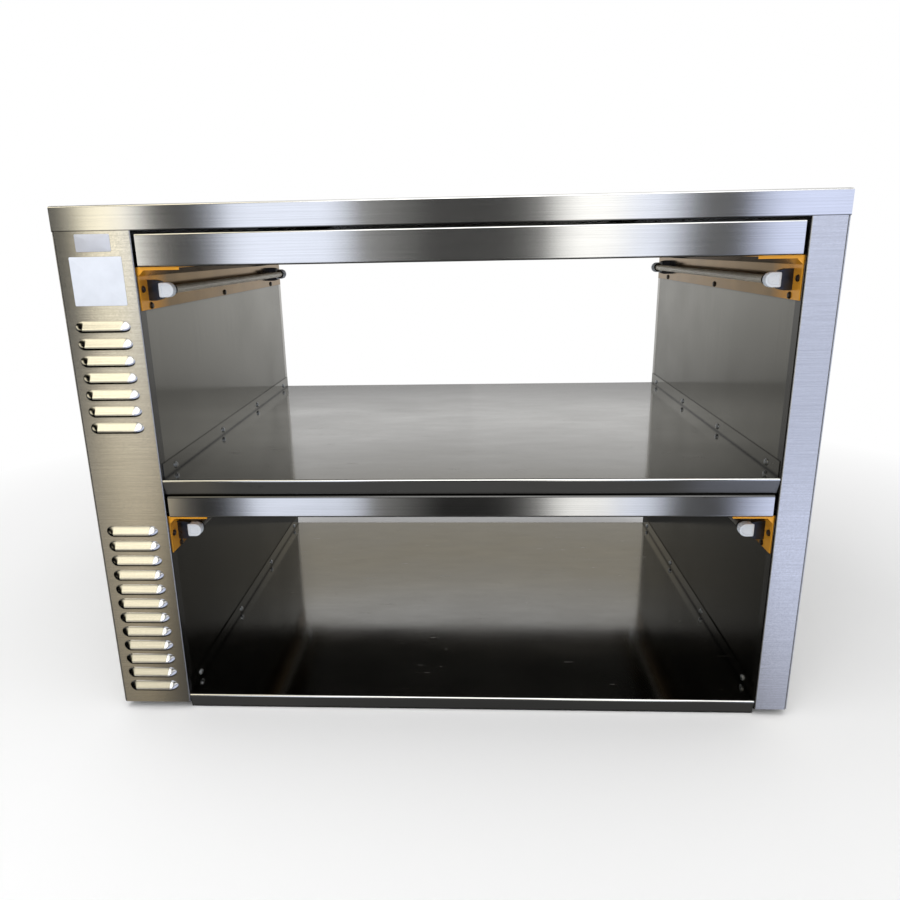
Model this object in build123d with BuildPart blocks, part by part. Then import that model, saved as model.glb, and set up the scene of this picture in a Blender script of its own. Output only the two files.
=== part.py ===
"""Open two-tier heated holding cabinet in folded stainless sheet.

Two columns carry a top cover and two fixed shelves. Each tier is open at the front and the rear, and
has a gilt reflector with a quartz heating tube along both of its upper corners. The wide left column
is louvred and holds the wiring and the switches. Millimetres, +Z up, front towards -Y, origin in the
middle of the footprint on the surface that the cabinet stands on.
"""

import os
from math import cos, radians, sin

from build123d import *

# Overall sizes
cabinet_width = 914.0
cabinet_depth = 658.0
left_column_width = 94.5
right_column_width = 43.5

# Heights of the stack, from the standing surface up
apron_height = 22.0
bay_height = 265.0
lower_header_height = 29.0
upper_header_height = 38.5
header_gap = 3.5
top_height = 29.0
panel_lift = 10.0

# Sheet metal
sheet = 1.2
bend = 2.4
top_hem = 15.0
panel_return = 16.0
panel_lap = 9.0
side_panel_inset = 1.5
tray_setback = 28.0
tray_height = 30.0

# Shelves
shelf_hem = 14.0
apron_lean = 4.7
shelf_flange = 20.0
flange_relief = 6.0
stiffener_crown = 30.0
stiffener_foot = 14.0
stiffener_depth = 16.0
stiffener_end_gap = 12.0
stiffener_spacing = 210.0
stiffener_count = 3

# Headers and ceilings
header_end_gap = 4.0
header_return = 16.0
header_upstand = 14.0
header_top_return = 11.0
ceiling_flange = 20.0

# Louvres, pressed outwards and open along their lower edge
louvre_width = 65.0
louvre_height = 14.0
louvre_depth = 6.0
louvre_pitch = 21.0
louvre_wall = 1.0
louvre_end_facets = 2
upper_louvre_count = 7
upper_louvre_z = 408.0
lower_louvre_count = 12
lower_louvre_z = 37.5

# Reflectors
reflector_sheet = 1.0
reflector_leg = 51.0
reflector_facet = 10.0
reflector_lip = 3.6
reflector_setback = 5.0

# Heating tubes, their ceramic end caps and the clips that carry the caps
lamp_from_wall = 24.0
lamp_below_ceiling = 28.0
lamp_setback = 26.0
lamp_rear_setback = 74.0
tube_diameter = 10.0
tube_wall = 1.0
tube_grip = 10.0
cap_height = 17.6
cap_length = 16.0
cap_seat = 9.8
cap_nose_diameter = 13.0
cap_nose_length = 6.0
cap_bore_clearance = 0.1
coil_clearance = 0.3
coil_end_gap = 8.0
clip_length = 9.0
clip_from_face = 0.5
clip_height = 25.0
clip_shoulder = 10.0
clip_clearance = 0.1
clip_overlap = 3.0
clip_jaw = 1.5

# Hexagon-head screws
screw_head = 6.4
screw_head_height = 2.2
shelf_screw_count = 4
shelf_screw_spacing = 190.0
shelf_screw_height = 8.0
reflector_low_screw_from_edge = 4.5
reflector_end_screw_inset = 8.0
reflector_end_screw_drop = 26.0

# Rocker switches in the rear of the left column, one for each tier
switch_body_width = 22.0
switch_body_height = 30.0
switch_body_depth = 24.0
switch_flange_width = 26.0
switch_flange_height = 35.0
switch_flange = 2.0
switch_well_depth = 13.0
switch_wall = 1.8
switch_cutout_clearance = 0.2
switch_from_top = 60.0
switch_spacing = 70.0
rocker_side_gap = 0.25
rocker_end_gap = 0.4
rocker_pivot_depth = 3.0
rocker_pivot_diameter = 3.2
rocker_pivot_length = 1.1
rocker_pivot_clearance = 0.05
rocker_tilt = 10.0
rocker_face = 5.2
rocker_crest = 8.4
rocker_skirt = 3.6
blade_width = 6.3
blade_thickness = 0.8
blade_length = 9.0
blade_spacing = 12.0

# Cord gland in the rear of the left column
gland_from_floor = 48.0
gland_bore_diameter = 13.0
gland_thread_diameter = 20.0
gland_hex = 27.0
gland_hex_height = 5.0
gland_nut_hex = 23.0
gland_nut_height = 8.0
gland_hole_clearance = 0.2

# Electrical parts inside the left column
plate_width = 90.0
plate_height = 200.0
plate_flange = 12.0
plate_standoff = 16.0
plate_z = 330.0
block_ways = 6
block_pitch = 14.0
block_depth = 24.0
block_height = 22.0
block_barrier = 2.0
block_groove = 9.0
wireway_size = 14.0
wireway_hole_clearance = 0.3
wireway_overhang = 14.0
wireway_from_front = 60.0
wireway_rise = 9.0
trunk_size = 16.0
trunk_gap = 0.3
trunk_spacing = 34.0
trunk_foot = 60.0
trunk_head_gap = 20.0

# Faces and levels that follow from these sizes
half_width = cabinet_width / 2
front_y = -cabinet_depth / 2
rear_y = cabinet_depth / 2
left_wall = -half_width + left_column_width
right_wall = half_width - right_column_width
bay_width = right_wall - left_wall
lower_shelf_z = apron_height
lower_ceiling_z = lower_shelf_z + bay_height
upper_apron_z = lower_ceiling_z + lower_header_height
upper_shelf_z = upper_apron_z + apron_height
upper_ceiling_z = upper_shelf_z + bay_height
upper_header_z = upper_ceiling_z + upper_header_height
top_z = upper_header_z + header_gap
panel_height = top_z - panel_lift
left_outer = -half_width + sheet
right_outer = half_width - sheet
left_middle = (left_outer + left_wall) / 2
lamp_length = cabinet_depth - lamp_setback - lamp_rear_setback
wireway_y = front_y + wireway_from_front
wireway_lift = ceiling_flange + wireway_rise

# Wall face, direction into the bay and outer skin of each column
columns = {
    "left": (left_wall, 1, left_outer),
    "right": (right_wall, -1, right_outer),
}
# Shelf surface, ceiling, header top and wireway level of each tier
tiers = {
    "upper": (upper_shelf_z, upper_ceiling_z, upper_header_z, upper_ceiling_z + wireway_lift),
    "lower": (lower_shelf_z, lower_ceiling_z, upper_apron_z, lower_ceiling_z + wireway_lift),
}

os.makedirs("parts", exist_ok=True)


def save(piece, label):
    """Label a finished piece and write its file."""
    piece.part.label = label
    export_step(piece.part, f"parts/{label}.step")


def folded_section(points, side, thickness=sheet, rounded=True):
    """Section of a bent sheet: its skin runs through the points, and the metal lies on one side of it."""
    with BuildLine() as skin:
        if rounded:
            FilletPolyline(*points, radius=bend)
        else:
            Polyline(*points)
        offset(amount=thickness, side=side, kind=Kind.INTERSECTION)
    make_face(skin.edges())


def make_tray(x_from, x_to, y_from, y_to, z, height):
    """Open-topped tray folded from one sheet."""
    with BuildPart() as tray:
        with BuildSketch(Plane.XY.offset(z)):
            with Locations(((x_from + x_to) / 2, (y_from + y_to) / 2)):
                Rectangle(x_to - x_from, y_to - y_from)
        extrude(amount=height)
        offset(amount=-sheet, openings=tray.faces().sort_by(Axis.Z)[-1])
    return tray


def make_louvre():
    """Hood of one louvre and the space below it, seen with the sheet's face on XZ and the hood towards -Y.

    Its outline in the sheet's face is a slot with round ends. From the upper edge the hood slopes out to
    a lip along the lower edge, and the lip runs back to the sheet at both ends. A few straight facets
    stand for each round end.
    """
    top = louvre_height / 2
    straight = louvre_width / 2 - top
    slope = louvre_height / louvre_depth
    corners = [(end * louvre_width / 2, 0, 0) for end in (-1, 1)]
    for step in range(louvre_end_facets):
        turn = radians(90 * step / louvre_end_facets)
        rise, out = top * cos(turn), louvre_depth * cos(turn)
        for end in (-1, 1):
            x = end * (straight + top * sin(turn))
            corners += [(x, 0, rise), (x, 0, -rise), (x, -out, -rise)]
    with BuildPart() as hood:
        ConvexPolyhedron(corners)
    with BuildPart() as space:
        with BuildSketch(Plane.YZ):
            Polygon(
                (2 * sheet, top - louvre_wall * slope),
                (0, top - louvre_wall * slope),
                (-louvre_depth + louvre_wall, -top),
                (2 * sheet, -top),
                align=None,
            )
        extrude(amount=straight, both=True)
    return hood.part, space.part


def make_column_face(outer_x, inner_x, face_y, inward, louvre_levels, cutouts):
    """Front or rear face of a column, with a return bend along each upright edge."""
    points = [
        (outer_x, face_y + inward * panel_return),
        (outer_x, face_y),
        (inner_x, face_y),
        (inner_x, face_y + inward * panel_return),
    ]
    side = Side.LEFT if (inner_x - outer_x) * inward > 0 else Side.RIGHT
    middle = (outer_x + inner_x) / 2
    turn = 0 if inward > 0 else 180
    with BuildPart() as face:
        with BuildSketch(Plane.XY.offset(panel_lift)):
            folded_section(points, side)
        extrude(amount=panel_height)
        for z in louvre_levels:
            with Locations(Location((middle, face_y, z), (0, 0, turn))):
                add(louvre_hood)
                add(louvre_space, mode=Mode.SUBTRACT)
        for cutout in cutouts:
            with BuildSketch(Plane.XZ.offset(-face_y)):
                cutout()
            extrude(amount=2 * sheet, both=True, mode=Mode.SUBTRACT)
    return face


louvre_hood, louvre_space = make_louvre()
switch_levels = {
    "upper": top_z - switch_from_top,
    "lower": top_z - switch_from_top - switch_spacing,
}


def switch_cutouts():
    """Windows for the two switch bodies."""
    for z in switch_levels.values():
        with Locations((left_middle, z)):
            Rectangle(
                switch_body_width + 2 * switch_cutout_clearance,
                switch_body_height + 2 * switch_cutout_clearance,
            )


def gland_cutout():
    """Round hole for the gland's thread."""
    with Locations((left_middle, gland_from_floor)):
        Circle(gland_thread_diameter / 2 + gland_hole_clearance)


# Column faces
upper_louvres = [upper_louvre_z + i * louvre_pitch for i in range(upper_louvre_count)]
lower_louvres = [lower_louvre_z + i * louvre_pitch for i in range(lower_louvre_count)]
left_front_panel = make_column_face(left_outer, left_wall, front_y, 1, upper_louvres + lower_louvres, [])
left_rear_panel = make_column_face(left_outer, left_wall, rear_y, -1, [], [switch_cutouts, gland_cutout])
right_front_panel = make_column_face(right_outer, right_wall, front_y, 1, [], [])
right_rear_panel = make_column_face(right_outer, right_wall, rear_y, -1, [], [])
save(left_front_panel, "left_front_panel")
save(left_rear_panel, "left_rear_panel")
save(right_front_panel, "right_front_panel")
save(right_rear_panel, "right_rear_panel")

# Inner walls: flush with the column faces' returns, with a lap strip behind each of the two seams
wall_length = cabinet_depth - 2 * panel_return
wireway_hole = wireway_size + 2 * wireway_hole_clearance
for name, (wall_x, inward, outer_x) in columns.items():
    with BuildPart() as inner_wall:
        with BuildSketch(Plane.XY.offset(panel_lift)):
            with Locations((wall_x - inward * sheet / 2, 0)):
                Rectangle(sheet, wall_length)
            with Locations(
                (wall_x - inward * sheet * 1.5, -wall_length / 2),
                (wall_x - inward * sheet * 1.5, wall_length / 2),
            ):
                Rectangle(sheet, 2 * panel_lap)
        extrude(amount=panel_height)
        with BuildSketch(Plane.YZ.offset(wall_x)):
            with Locations(*[(wireway_y, tier[3]) for tier in tiers.values()]):
                Rectangle(wireway_hole, wireway_hole)
        extrude(amount=2 * sheet, both=True, mode=Mode.SUBTRACT)
    save(inner_wall, f"{name}_inner_wall")

    # Outer side panel, screwed on over the returns of the column faces
    with BuildPart() as side_panel:
        with BuildSketch(Plane.YZ.offset(outer_x)):
            with Locations((0, panel_lift + panel_height / 2)):
                Rectangle(cabinet_depth - 2 * side_panel_inset, panel_height)
        extrude(amount=-inward * sheet)
    save(side_panel, f"{name}_side_panel")

    # Base tray that closes the column and stands on the floor
    tray_edges = sorted((outer_x, wall_x - inward * sheet))
    base_tray = make_tray(*tray_edges, front_y + tray_setback, rear_y - tray_setback, 0, tray_height)
    save(base_tray, f"{name}_base_tray")

# Top cover: an inverted pan with its lower edge turned in
with BuildPart() as top_cover:
    with BuildSketch(Plane.XY.offset(top_z)):
        Rectangle(cabinet_width, cabinet_depth)
    extrude(amount=top_height)
    fillet(top_cover.edges().group_by(Axis.Z)[-1], radius=bend)
    offset(amount=-sheet, openings=top_cover.faces().sort_by(Axis.Z)[0])
    with BuildSketch(Plane.XY.offset(top_z)):
        Rectangle(cabinet_width - sheet, cabinet_depth - sheet)
        Rectangle(cabinet_width - 2 * top_hem, cabinet_depth - 2 * top_hem, mode=Mode.SUBTRACT)
    extrude(amount=sheet)
save(top_cover, "top_cover")

for name, (shelf_z, ceiling_z, header_z, wireway_z) in tiers.items():
    # Shelf: aprons turned down at the front and rear, leaning in a little, and flanges turned up against the
    # inner walls
    apron_z = shelf_z - apron_height
    with BuildPart() as shelf:
        with BuildSketch(Plane.YZ.offset(left_wall)):
            folded_section(
                [
                    (front_y + apron_lean + shelf_hem, apron_z),
                    (front_y + apron_lean, apron_z),
                    (front_y, shelf_z),
                    (rear_y, shelf_z),
                    (rear_y - apron_lean, apron_z),
                    (rear_y - apron_lean - shelf_hem, apron_z),
                ],
                Side.RIGHT,
            )
        extrude(amount=bay_width)
        with BuildSketch(Plane.XY.offset(shelf_z - sheet)):
            for wall_x, inward, outer_x in columns.values():
                with Locations((wall_x + inward * sheet / 2, 0)):
                    Rectangle(sheet, cabinet_depth - 2 * flange_relief)
        extrude(amount=sheet + shelf_flange)
    save(shelf, f"{name}_shelf")

    # Hat-section stiffeners below the shelf
    with BuildPart() as stiffeners:
        crown_z = shelf_z - sheet - stiffener_depth
        foot_z = shelf_z - sheet
        crown = stiffener_crown / 2
        for i in range(stiffener_count):
            y = (i - (stiffener_count - 1) / 2) * stiffener_spacing
            with BuildSketch(Plane.YZ.offset(left_wall + stiffener_end_gap)):
                folded_section(
                    [
                        (y - crown - stiffener_foot, foot_z),
                        (y - crown, foot_z),
                        (y - crown, crown_z),
                        (y + crown, crown_z),
                        (y + crown, foot_z),
                        (y + crown + stiffener_foot, foot_z),
                    ],
                    Side.RIGHT,
                    rounded=False,
                )
            extrude(amount=bay_width - 2 * stiffener_end_gap)
    save(stiffeners, f"{name}_shelf_stiffeners")

    # Ceiling tray between the front and rear headers
    ceiling = make_tray(
        left_wall, right_wall, front_y + header_return, rear_y - header_return, ceiling_z, ceiling_flange
    )
    save(ceiling, f"{name}_ceiling")

    # Headers: face strips whose lower return turns up against the ceiling tray
    for end, face_y, inward in (("front", front_y, 1), ("rear", rear_y, -1)):
        with BuildPart() as header:
            with BuildSketch(Plane.YZ.offset(left_wall + header_end_gap)):
                folded_section(
                    [
                        (face_y + inward * header_top_return, header_z),
                        (face_y, header_z),
                        (face_y, ceiling_z),
                        (face_y + inward * header_return, ceiling_z),
                        (face_y + inward * header_return, ceiling_z + header_upstand),
                    ],
                    Side.LEFT if inward > 0 else Side.RIGHT,
                )
            extrude(amount=bay_width - 2 * header_end_gap)
        save(header, f"{name}_{end}_header")

    # Wireway that takes the wires across to the right column
    with BuildPart() as wireway:
        with BuildSketch(Plane.YZ.offset(left_wall - wireway_overhang)):
            with Locations((wireway_y, wireway_z)):
                Rectangle(wireway_size, wireway_size)
        extrude(amount=bay_width + 2 * wireway_overhang)
    save(wireway, f"{name}_cross_wireway")


for tier, (shelf_z, ceiling_z, header_z, wireway_z) in tiers.items():
    for name, (wall_x, inward, outer_x) in columns.items():
        lamp_x = wall_x + inward * lamp_from_wall
        lamp_z = ceiling_z - lamp_below_ceiling
        lamp_front = front_y + lamp_setback
        lamp_rear = lamp_front + lamp_length
        tube_front = lamp_front + cap_length - tube_grip
        tube_length = lamp_length - 2 * (cap_length - tube_grip)
        lamp_ends = ((lamp_front, 1), (lamp_rear, -1))

        # Reflector: a ceiling leg and a wall leg, with a sloping facet between them. Each end has a lip below
        # the ceiling leg, which runs into a tab that closes the corner behind the facet
        with BuildPart() as reflector:
            with BuildSketch(Plane.XZ.offset(-front_y - reflector_setback)):
                folded_section(
                    [
                        (wall_x + inward * reflector_leg, ceiling_z),
                        (wall_x + inward * reflector_facet, ceiling_z),
                        (wall_x, ceiling_z - reflector_facet),
                        (wall_x, ceiling_z - reflector_leg),
                    ],
                    Side.LEFT if inward > 0 else Side.RIGHT,
                    reflector_sheet,
                )
            extrude(amount=-(cabinet_depth - 2 * reflector_setback))
            for tab_y, along in ((front_y + reflector_setback, 1), (rear_y - reflector_setback, -1)):
                with BuildSketch(Plane.XZ.offset(-tab_y)):
                    Polygon(
                        (wall_x, ceiling_z),
                        (wall_x + inward * reflector_leg, ceiling_z),
                        (wall_x + inward * reflector_leg, ceiling_z - reflector_lip),
                        (wall_x + inward * (reflector_facet - reflector_lip), ceiling_z - reflector_lip),
                        (wall_x, ceiling_z - reflector_facet),
                        align=None,
                    )
                extrude(amount=-along * reflector_sheet)
        save(reflector, f"{tier}_{name}_reflector")

        # Quartz tube
        with BuildPart() as quartz_tube:
            with BuildSketch(Plane.XZ.offset(-tube_front)):
                with Locations((lamp_x, lamp_z)):
                    Circle(tube_diameter / 2)
                    Circle(tube_diameter / 2 - tube_wall, mode=Mode.SUBTRACT)
            extrude(amount=-tube_length)
        save(quartz_tube, f"{tier}_{name}_quartz_tube")

        # Heating coil inside the tube, as the cylinder that it fills
        with BuildPart() as heating_coil:
            with BuildSketch(Plane.XZ.offset(-tube_front - coil_end_gap)):
                with Locations((lamp_x, lamp_z)):
                    Circle(tube_diameter / 2 - tube_wall - coil_clearance)
            extrude(amount=-(tube_length - 2 * coil_end_gap))
        save(heating_coil, f"{tier}_{name}_heating_coil")

        # Ceramic caps on both ends of the tube, round towards the bay and flat towards the wall, with a round
        # nose that takes the tube
        with BuildPart() as lamp_caps:
            for face_y, along in lamp_ends:
                with BuildSketch(Plane.XZ.offset(-face_y)):
                    with Locations((lamp_x, lamp_z)):
                        Circle(cap_height / 2)
                    with Locations((lamp_x - inward * cap_seat / 2, lamp_z)):
                        Rectangle(cap_seat, cap_height)
                extrude(amount=-along * (cap_length - cap_nose_length))
                nose_plane = Plane.XZ.offset(-face_y - along * cap_length)
                with BuildSketch(nose_plane):
                    with Locations((lamp_x, lamp_z)):
                        Circle(cap_nose_diameter / 2)
                extrude(amount=along * cap_nose_length)
                with BuildSketch(nose_plane):
                    with Locations((lamp_x, lamp_z)):
                        Circle(tube_diameter / 2 + cap_bore_clearance)
                extrude(amount=along * tube_grip, mode=Mode.SUBTRACT)
        save(lamp_caps, f"{tier}_{name}_lamp_caps")

        # Clips on the reflector's wall leg: two jaws take the flat end of the cap
        with BuildPart() as lamp_clips:
            base_x = wall_x + inward * reflector_sheet
            shoulder_x = wall_x + inward * clip_shoulder
            seat_x = lamp_x - inward * cap_seat
            jaw_x = seat_x + inward * clip_overlap
            jaw = cap_height / 2 + clip_clearance
            upper_half = [
                (base_x, clip_height / 2),
                (shoulder_x, clip_height / 2),
                (jaw_x, jaw + clip_jaw),
                (jaw_x, jaw),
                (seat_x, jaw),
            ]
            outline = upper_half + [(x, -rise) for x, rise in reversed(upper_half)]
            for face_y, along in lamp_ends:
                with BuildSketch(Plane.XZ.offset(-face_y - along * clip_from_face)):
                    Polygon(*[(x, lamp_z + rise) for x, rise in outline], align=None)
                extrude(amount=-along * clip_length)
        save(lamp_clips, f"{tier}_{name}_lamp_clips")


def spread(count, spacing):
    """Positions of count things in a row about zero."""
    return [(i - (count - 1) / 2) * spacing for i in range(count)]


# Screws that hold the shelf flanges to the inner walls
with BuildPart() as shelf_screws:
    for shelf_z, ceiling_z, header_z, wireway_z in tiers.values():
        for wall_x, inward, outer_x in columns.values():
            with BuildSketch(Plane.YZ.offset(wall_x + inward * sheet)):
                with Locations(
                    *[(y, shelf_z + shelf_screw_height) for y in spread(shelf_screw_count, shelf_screw_spacing)]
                ):
                    RegularPolygon(screw_head / 2, 6, major_radius=False)
            extrude(amount=inward * screw_head_height)
save(shelf_screws, "shelf_screws")

# Screws in the wall leg of every reflector: a row below the tube and one at each end
lamp_middle = front_y + lamp_setback + lamp_length / 2
clip_spacing = lamp_length - 2 * clip_from_face - clip_length
end_spacing = cabinet_depth - 2 * (reflector_setback + reflector_end_screw_inset)
low_drop = reflector_leg - reflector_low_screw_from_edge
low_row = [(lamp_middle + y, low_drop) for y in spread(3, clip_spacing / 2)]
end_pair = [(y, reflector_end_screw_drop) for y in spread(2, end_spacing)]
with BuildPart() as reflector_screws:
    for shelf_z, ceiling_z, header_z, wireway_z in tiers.values():
        for wall_x, inward, outer_x in columns.values():
            with BuildSketch(Plane.YZ.offset(wall_x + inward * reflector_sheet)):
                with Locations(*[(y, ceiling_z - drop) for y, drop in low_row + end_pair]):
                    RegularPolygon(screw_head / 2, 6, major_radius=False)
            extrude(amount=inward * screw_head_height)
save(reflector_screws, "reflector_screws")

# Rocker switches: a housing that drops into its window from outside, and a rocker on two trunnions
well_width = switch_body_width - 2 * switch_wall
well_height = switch_body_height - 2 * switch_wall
rocker_width = well_width - 2 * rocker_side_gap
rocker_radius = well_height / 2 - rocker_end_gap
pivot_y = rear_y - rocker_pivot_depth
for name, z in switch_levels.items():
    with BuildPart() as housing:
        with BuildSketch(Plane.XZ.offset(-rear_y)):
            with Locations((left_middle, z)):
                Rectangle(switch_body_width, switch_body_height)
        extrude(amount=switch_body_depth)
        with BuildSketch(Plane.XZ.offset(-rear_y)):
            with Locations((left_middle, z)):
                Rectangle(switch_flange_width, switch_flange_height)
        extrude(amount=-switch_flange)
        with BuildSketch(Plane.XZ.offset(-rear_y - switch_flange)):
            with Locations((left_middle, z)):
                Rectangle(well_width, well_height)
        extrude(amount=switch_flange + switch_well_depth, mode=Mode.SUBTRACT)
        with BuildSketch(Plane.YZ.offset(left_middle)):
            with Locations((pivot_y, z)):
                Circle(rocker_pivot_diameter / 2 + rocker_pivot_clearance)
        extrude(amount=well_width / 2 + rocker_pivot_length, both=True, mode=Mode.SUBTRACT)
    save(housing, f"{name}_switch_housing")

    # The rocker rests tipped with its top edge out, the off position
    tip = radians(rocker_tilt)
    rocker_plane = Plane((left_middle, pivot_y, z), (0, sin(tip), cos(tip)), (-1, 0, 0))
    crest_z = (rocker_radius**2 - rocker_crest**2) ** 0.5
    skirt_z = (rocker_radius**2 - rocker_skirt**2) ** 0.5
    with BuildPart() as rocker:
        with BuildSketch(rocker_plane):
            with BuildLine():
                Polyline((-crest_z, rocker_crest), (0, rocker_face), (crest_z, rocker_crest))
                ThreePointArc((crest_z, rocker_crest), (rocker_radius, 0), (skirt_z, -rocker_skirt))
                Polyline((skirt_z, -rocker_skirt), (-skirt_z, -rocker_skirt))
                ThreePointArc((-skirt_z, -rocker_skirt), (-rocker_radius, 0), (-crest_z, rocker_crest))
            make_face()
        extrude(amount=rocker_width / 2, both=True)
        with BuildSketch(rocker_plane):
            Circle(rocker_pivot_diameter / 2)
        extrude(amount=rocker_width / 2 + rocker_side_gap + rocker_pivot_length / 2, both=True)
    save(rocker, f"{name}_switch_rocker")

# Blade terminals on the back of both switches
with BuildPart() as switch_terminals:
    for z in switch_levels.values():
        with BuildSketch(Plane.XZ.offset(-rear_y + switch_body_depth)):
            with Locations((left_middle, z)):
                with GridLocations(blade_spacing, blade_spacing, 2, 2):
                    Rectangle(blade_thickness, blade_width)
        extrude(amount=blade_length)
save(switch_terminals, "switch_terminals")

# Cord gland: a hexagon against the panel, a clamping nut outside and a threaded stub with a locknut
with BuildPart() as cord_gland:
    gland_centre = (left_middle, gland_from_floor)
    with BuildSketch(Plane.XZ.offset(-rear_y)):
        with Locations(gland_centre):
            RegularPolygon(gland_hex / 2, 6, major_radius=False)
    extrude(amount=-gland_hex_height)
    with BuildSketch(Plane.XZ.offset(-rear_y - gland_hex_height)):
        with Locations(gland_centre):
            RegularPolygon(gland_nut_hex / 2, 6, major_radius=False)
    extrude(amount=-gland_nut_height)
    with BuildSketch(Plane.XZ.offset(-rear_y)):
        with Locations(gland_centre):
            Circle(gland_thread_diameter / 2)
    extrude(amount=sheet + gland_hex_height)
    with BuildSketch(Plane.XZ.offset(-rear_y + sheet)):
        with Locations(gland_centre):
            RegularPolygon(gland_hex / 2, 6, major_radius=False)
    extrude(amount=gland_hex_height)
    with BuildSketch(Plane.XZ.offset(-rear_y)):
        with Locations(gland_centre):
            Circle(gland_bore_diameter / 2)
    extrude(amount=2 * (gland_hex_height + gland_nut_height), both=True, mode=Mode.SUBTRACT)
save(cord_gland, "cord_gland")

# Component plate on the left inner wall, and the terminal block that it carries
plate_back = left_wall - sheet
plate_face = plate_back - plate_standoff
with BuildPart() as component_plate:
    with BuildSketch(Plane.XY.offset(plate_z)):
        folded_section(
            [
                (plate_back, -plate_width / 2 - plate_flange),
                (plate_back, -plate_width / 2),
                (plate_face + sheet, -plate_width / 2),
                (plate_face + sheet, plate_width / 2),
                (plate_back, plate_width / 2),
                (plate_back, plate_width / 2 + plate_flange),
            ],
            Side.LEFT,
            rounded=False,
        )
    extrude(amount=plate_height)
save(component_plate, "component_plate")

block_length = block_ways * block_pitch + block_barrier
block_middle = plate_z + plate_height / 2
with BuildPart() as terminal_block:
    with BuildSketch(Plane.YZ.offset(plate_face)):
        with Locations((0, block_middle)):
            Rectangle(block_depth, block_length)
    extrude(amount=-block_height)
    with BuildSketch(Plane.YZ.offset(plate_face - block_height)):
        with Locations(*[(0, block_middle + z) for z in spread(block_ways, block_pitch)]):
            Rectangle(block_depth, block_pitch - block_barrier)
    extrude(amount=block_groove, mode=Mode.SUBTRACT)
save(terminal_block, "terminal_block")

# Wire trunk that climbs the left column beside the wireways
with BuildPart() as wire_trunk:
    with BuildSketch(Plane.XY.offset(trunk_foot)):
        with Locations((left_wall - sheet - trunk_gap - trunk_size / 2, wireway_y + trunk_spacing)):
            Rectangle(trunk_size, trunk_size)
    extrude(amount=top_z - trunk_head_gap - trunk_foot)
save(wire_trunk, "wire_trunk")
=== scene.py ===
"""Looks of an open two-tier heated holding cabinet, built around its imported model.

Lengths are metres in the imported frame: front towards -Y, +Z up. The file is laid out as an add-on and
is run as a script.
"""

import bmesh
import bpy
import numpy as np
from bpy.props import FloatProperty, FloatVectorProperty, IntProperty, PointerProperty
from mathutils import Matrix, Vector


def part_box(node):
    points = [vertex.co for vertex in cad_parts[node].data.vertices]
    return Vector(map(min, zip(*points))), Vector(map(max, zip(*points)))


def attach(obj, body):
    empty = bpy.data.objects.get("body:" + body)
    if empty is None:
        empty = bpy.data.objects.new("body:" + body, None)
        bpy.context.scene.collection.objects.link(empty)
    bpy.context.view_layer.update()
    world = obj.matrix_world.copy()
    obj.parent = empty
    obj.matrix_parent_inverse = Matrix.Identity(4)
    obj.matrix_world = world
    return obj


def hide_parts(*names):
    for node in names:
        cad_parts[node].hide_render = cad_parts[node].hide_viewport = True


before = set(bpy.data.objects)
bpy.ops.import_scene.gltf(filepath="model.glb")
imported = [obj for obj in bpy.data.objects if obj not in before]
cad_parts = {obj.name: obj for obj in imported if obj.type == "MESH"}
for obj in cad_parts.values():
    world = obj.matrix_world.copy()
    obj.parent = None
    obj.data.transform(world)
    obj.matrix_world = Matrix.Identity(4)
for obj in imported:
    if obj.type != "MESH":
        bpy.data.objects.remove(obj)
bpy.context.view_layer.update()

bl_info = {
    "name": "Heated holding cabinet",
    "version": (1, 0, 0),
    "blender": (4, 5, 0),
    "location": "View3D > Sidebar > Cabinet",
    "description": "Dresses the packed model of an open two-tier heated holding cabinet",
    "category": "Object",
}

BODY = "cabinet"
TIERS = ("upper", "lower")
INWARD = {"left": 1, "right": -1}
MM = 0.001
X, Y, Z = range(3)
IMAGE_SIZE = 900
SHELF_FLANGE = 20 * MM
SMOOTH_ANGLE = np.radians(35)
# Colour of the painted shade in corners and joints
CORNER_SHADE = "#1C1A16"


def linear(hex_colour):
    """Linear colour of an sRGB hex value: c / 12.92 up to 0.04045, ((c + 0.055) / 1.055) ** 2.4 above."""
    srgb = np.array([int(hex_colour[i : i + 2], 16) for i in (1, 3, 5)]) / 255
    return tuple(np.where(srgb <= 0.04045, srgb / 12.92, ((srgb + 0.055) / 1.055) ** 2.4).tolist())


def length(name, description, millimetres):
    """A length that a user may change, given in millimetres and kept in metres."""
    return FloatProperty(name=name, description=description, default=millimetres * MM, min=0.0,
                         unit="LENGTH", precision=5)


def plate_corner(name, description, x, z):
    """A corner of a plate that a user may move, X and Z, given in millimetres and kept in metres."""
    return FloatVectorProperty(name=name, description=description, default=(x * MM, z * MM), size=2,
                               unit="LENGTH", precision=5)


def count(name, description, number):
    """How many there are of a piece."""
    return IntProperty(name=name, description=description, default=number, min=1)


def finish(name, description, hex_colour):
    """A colour that a user may change, given as an sRGB hex value."""
    return FloatVectorProperty(name=name, description=description, default=linear(hex_colour), size=3,
                               min=0.0, max=1.0, subtype="COLOR")


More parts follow.
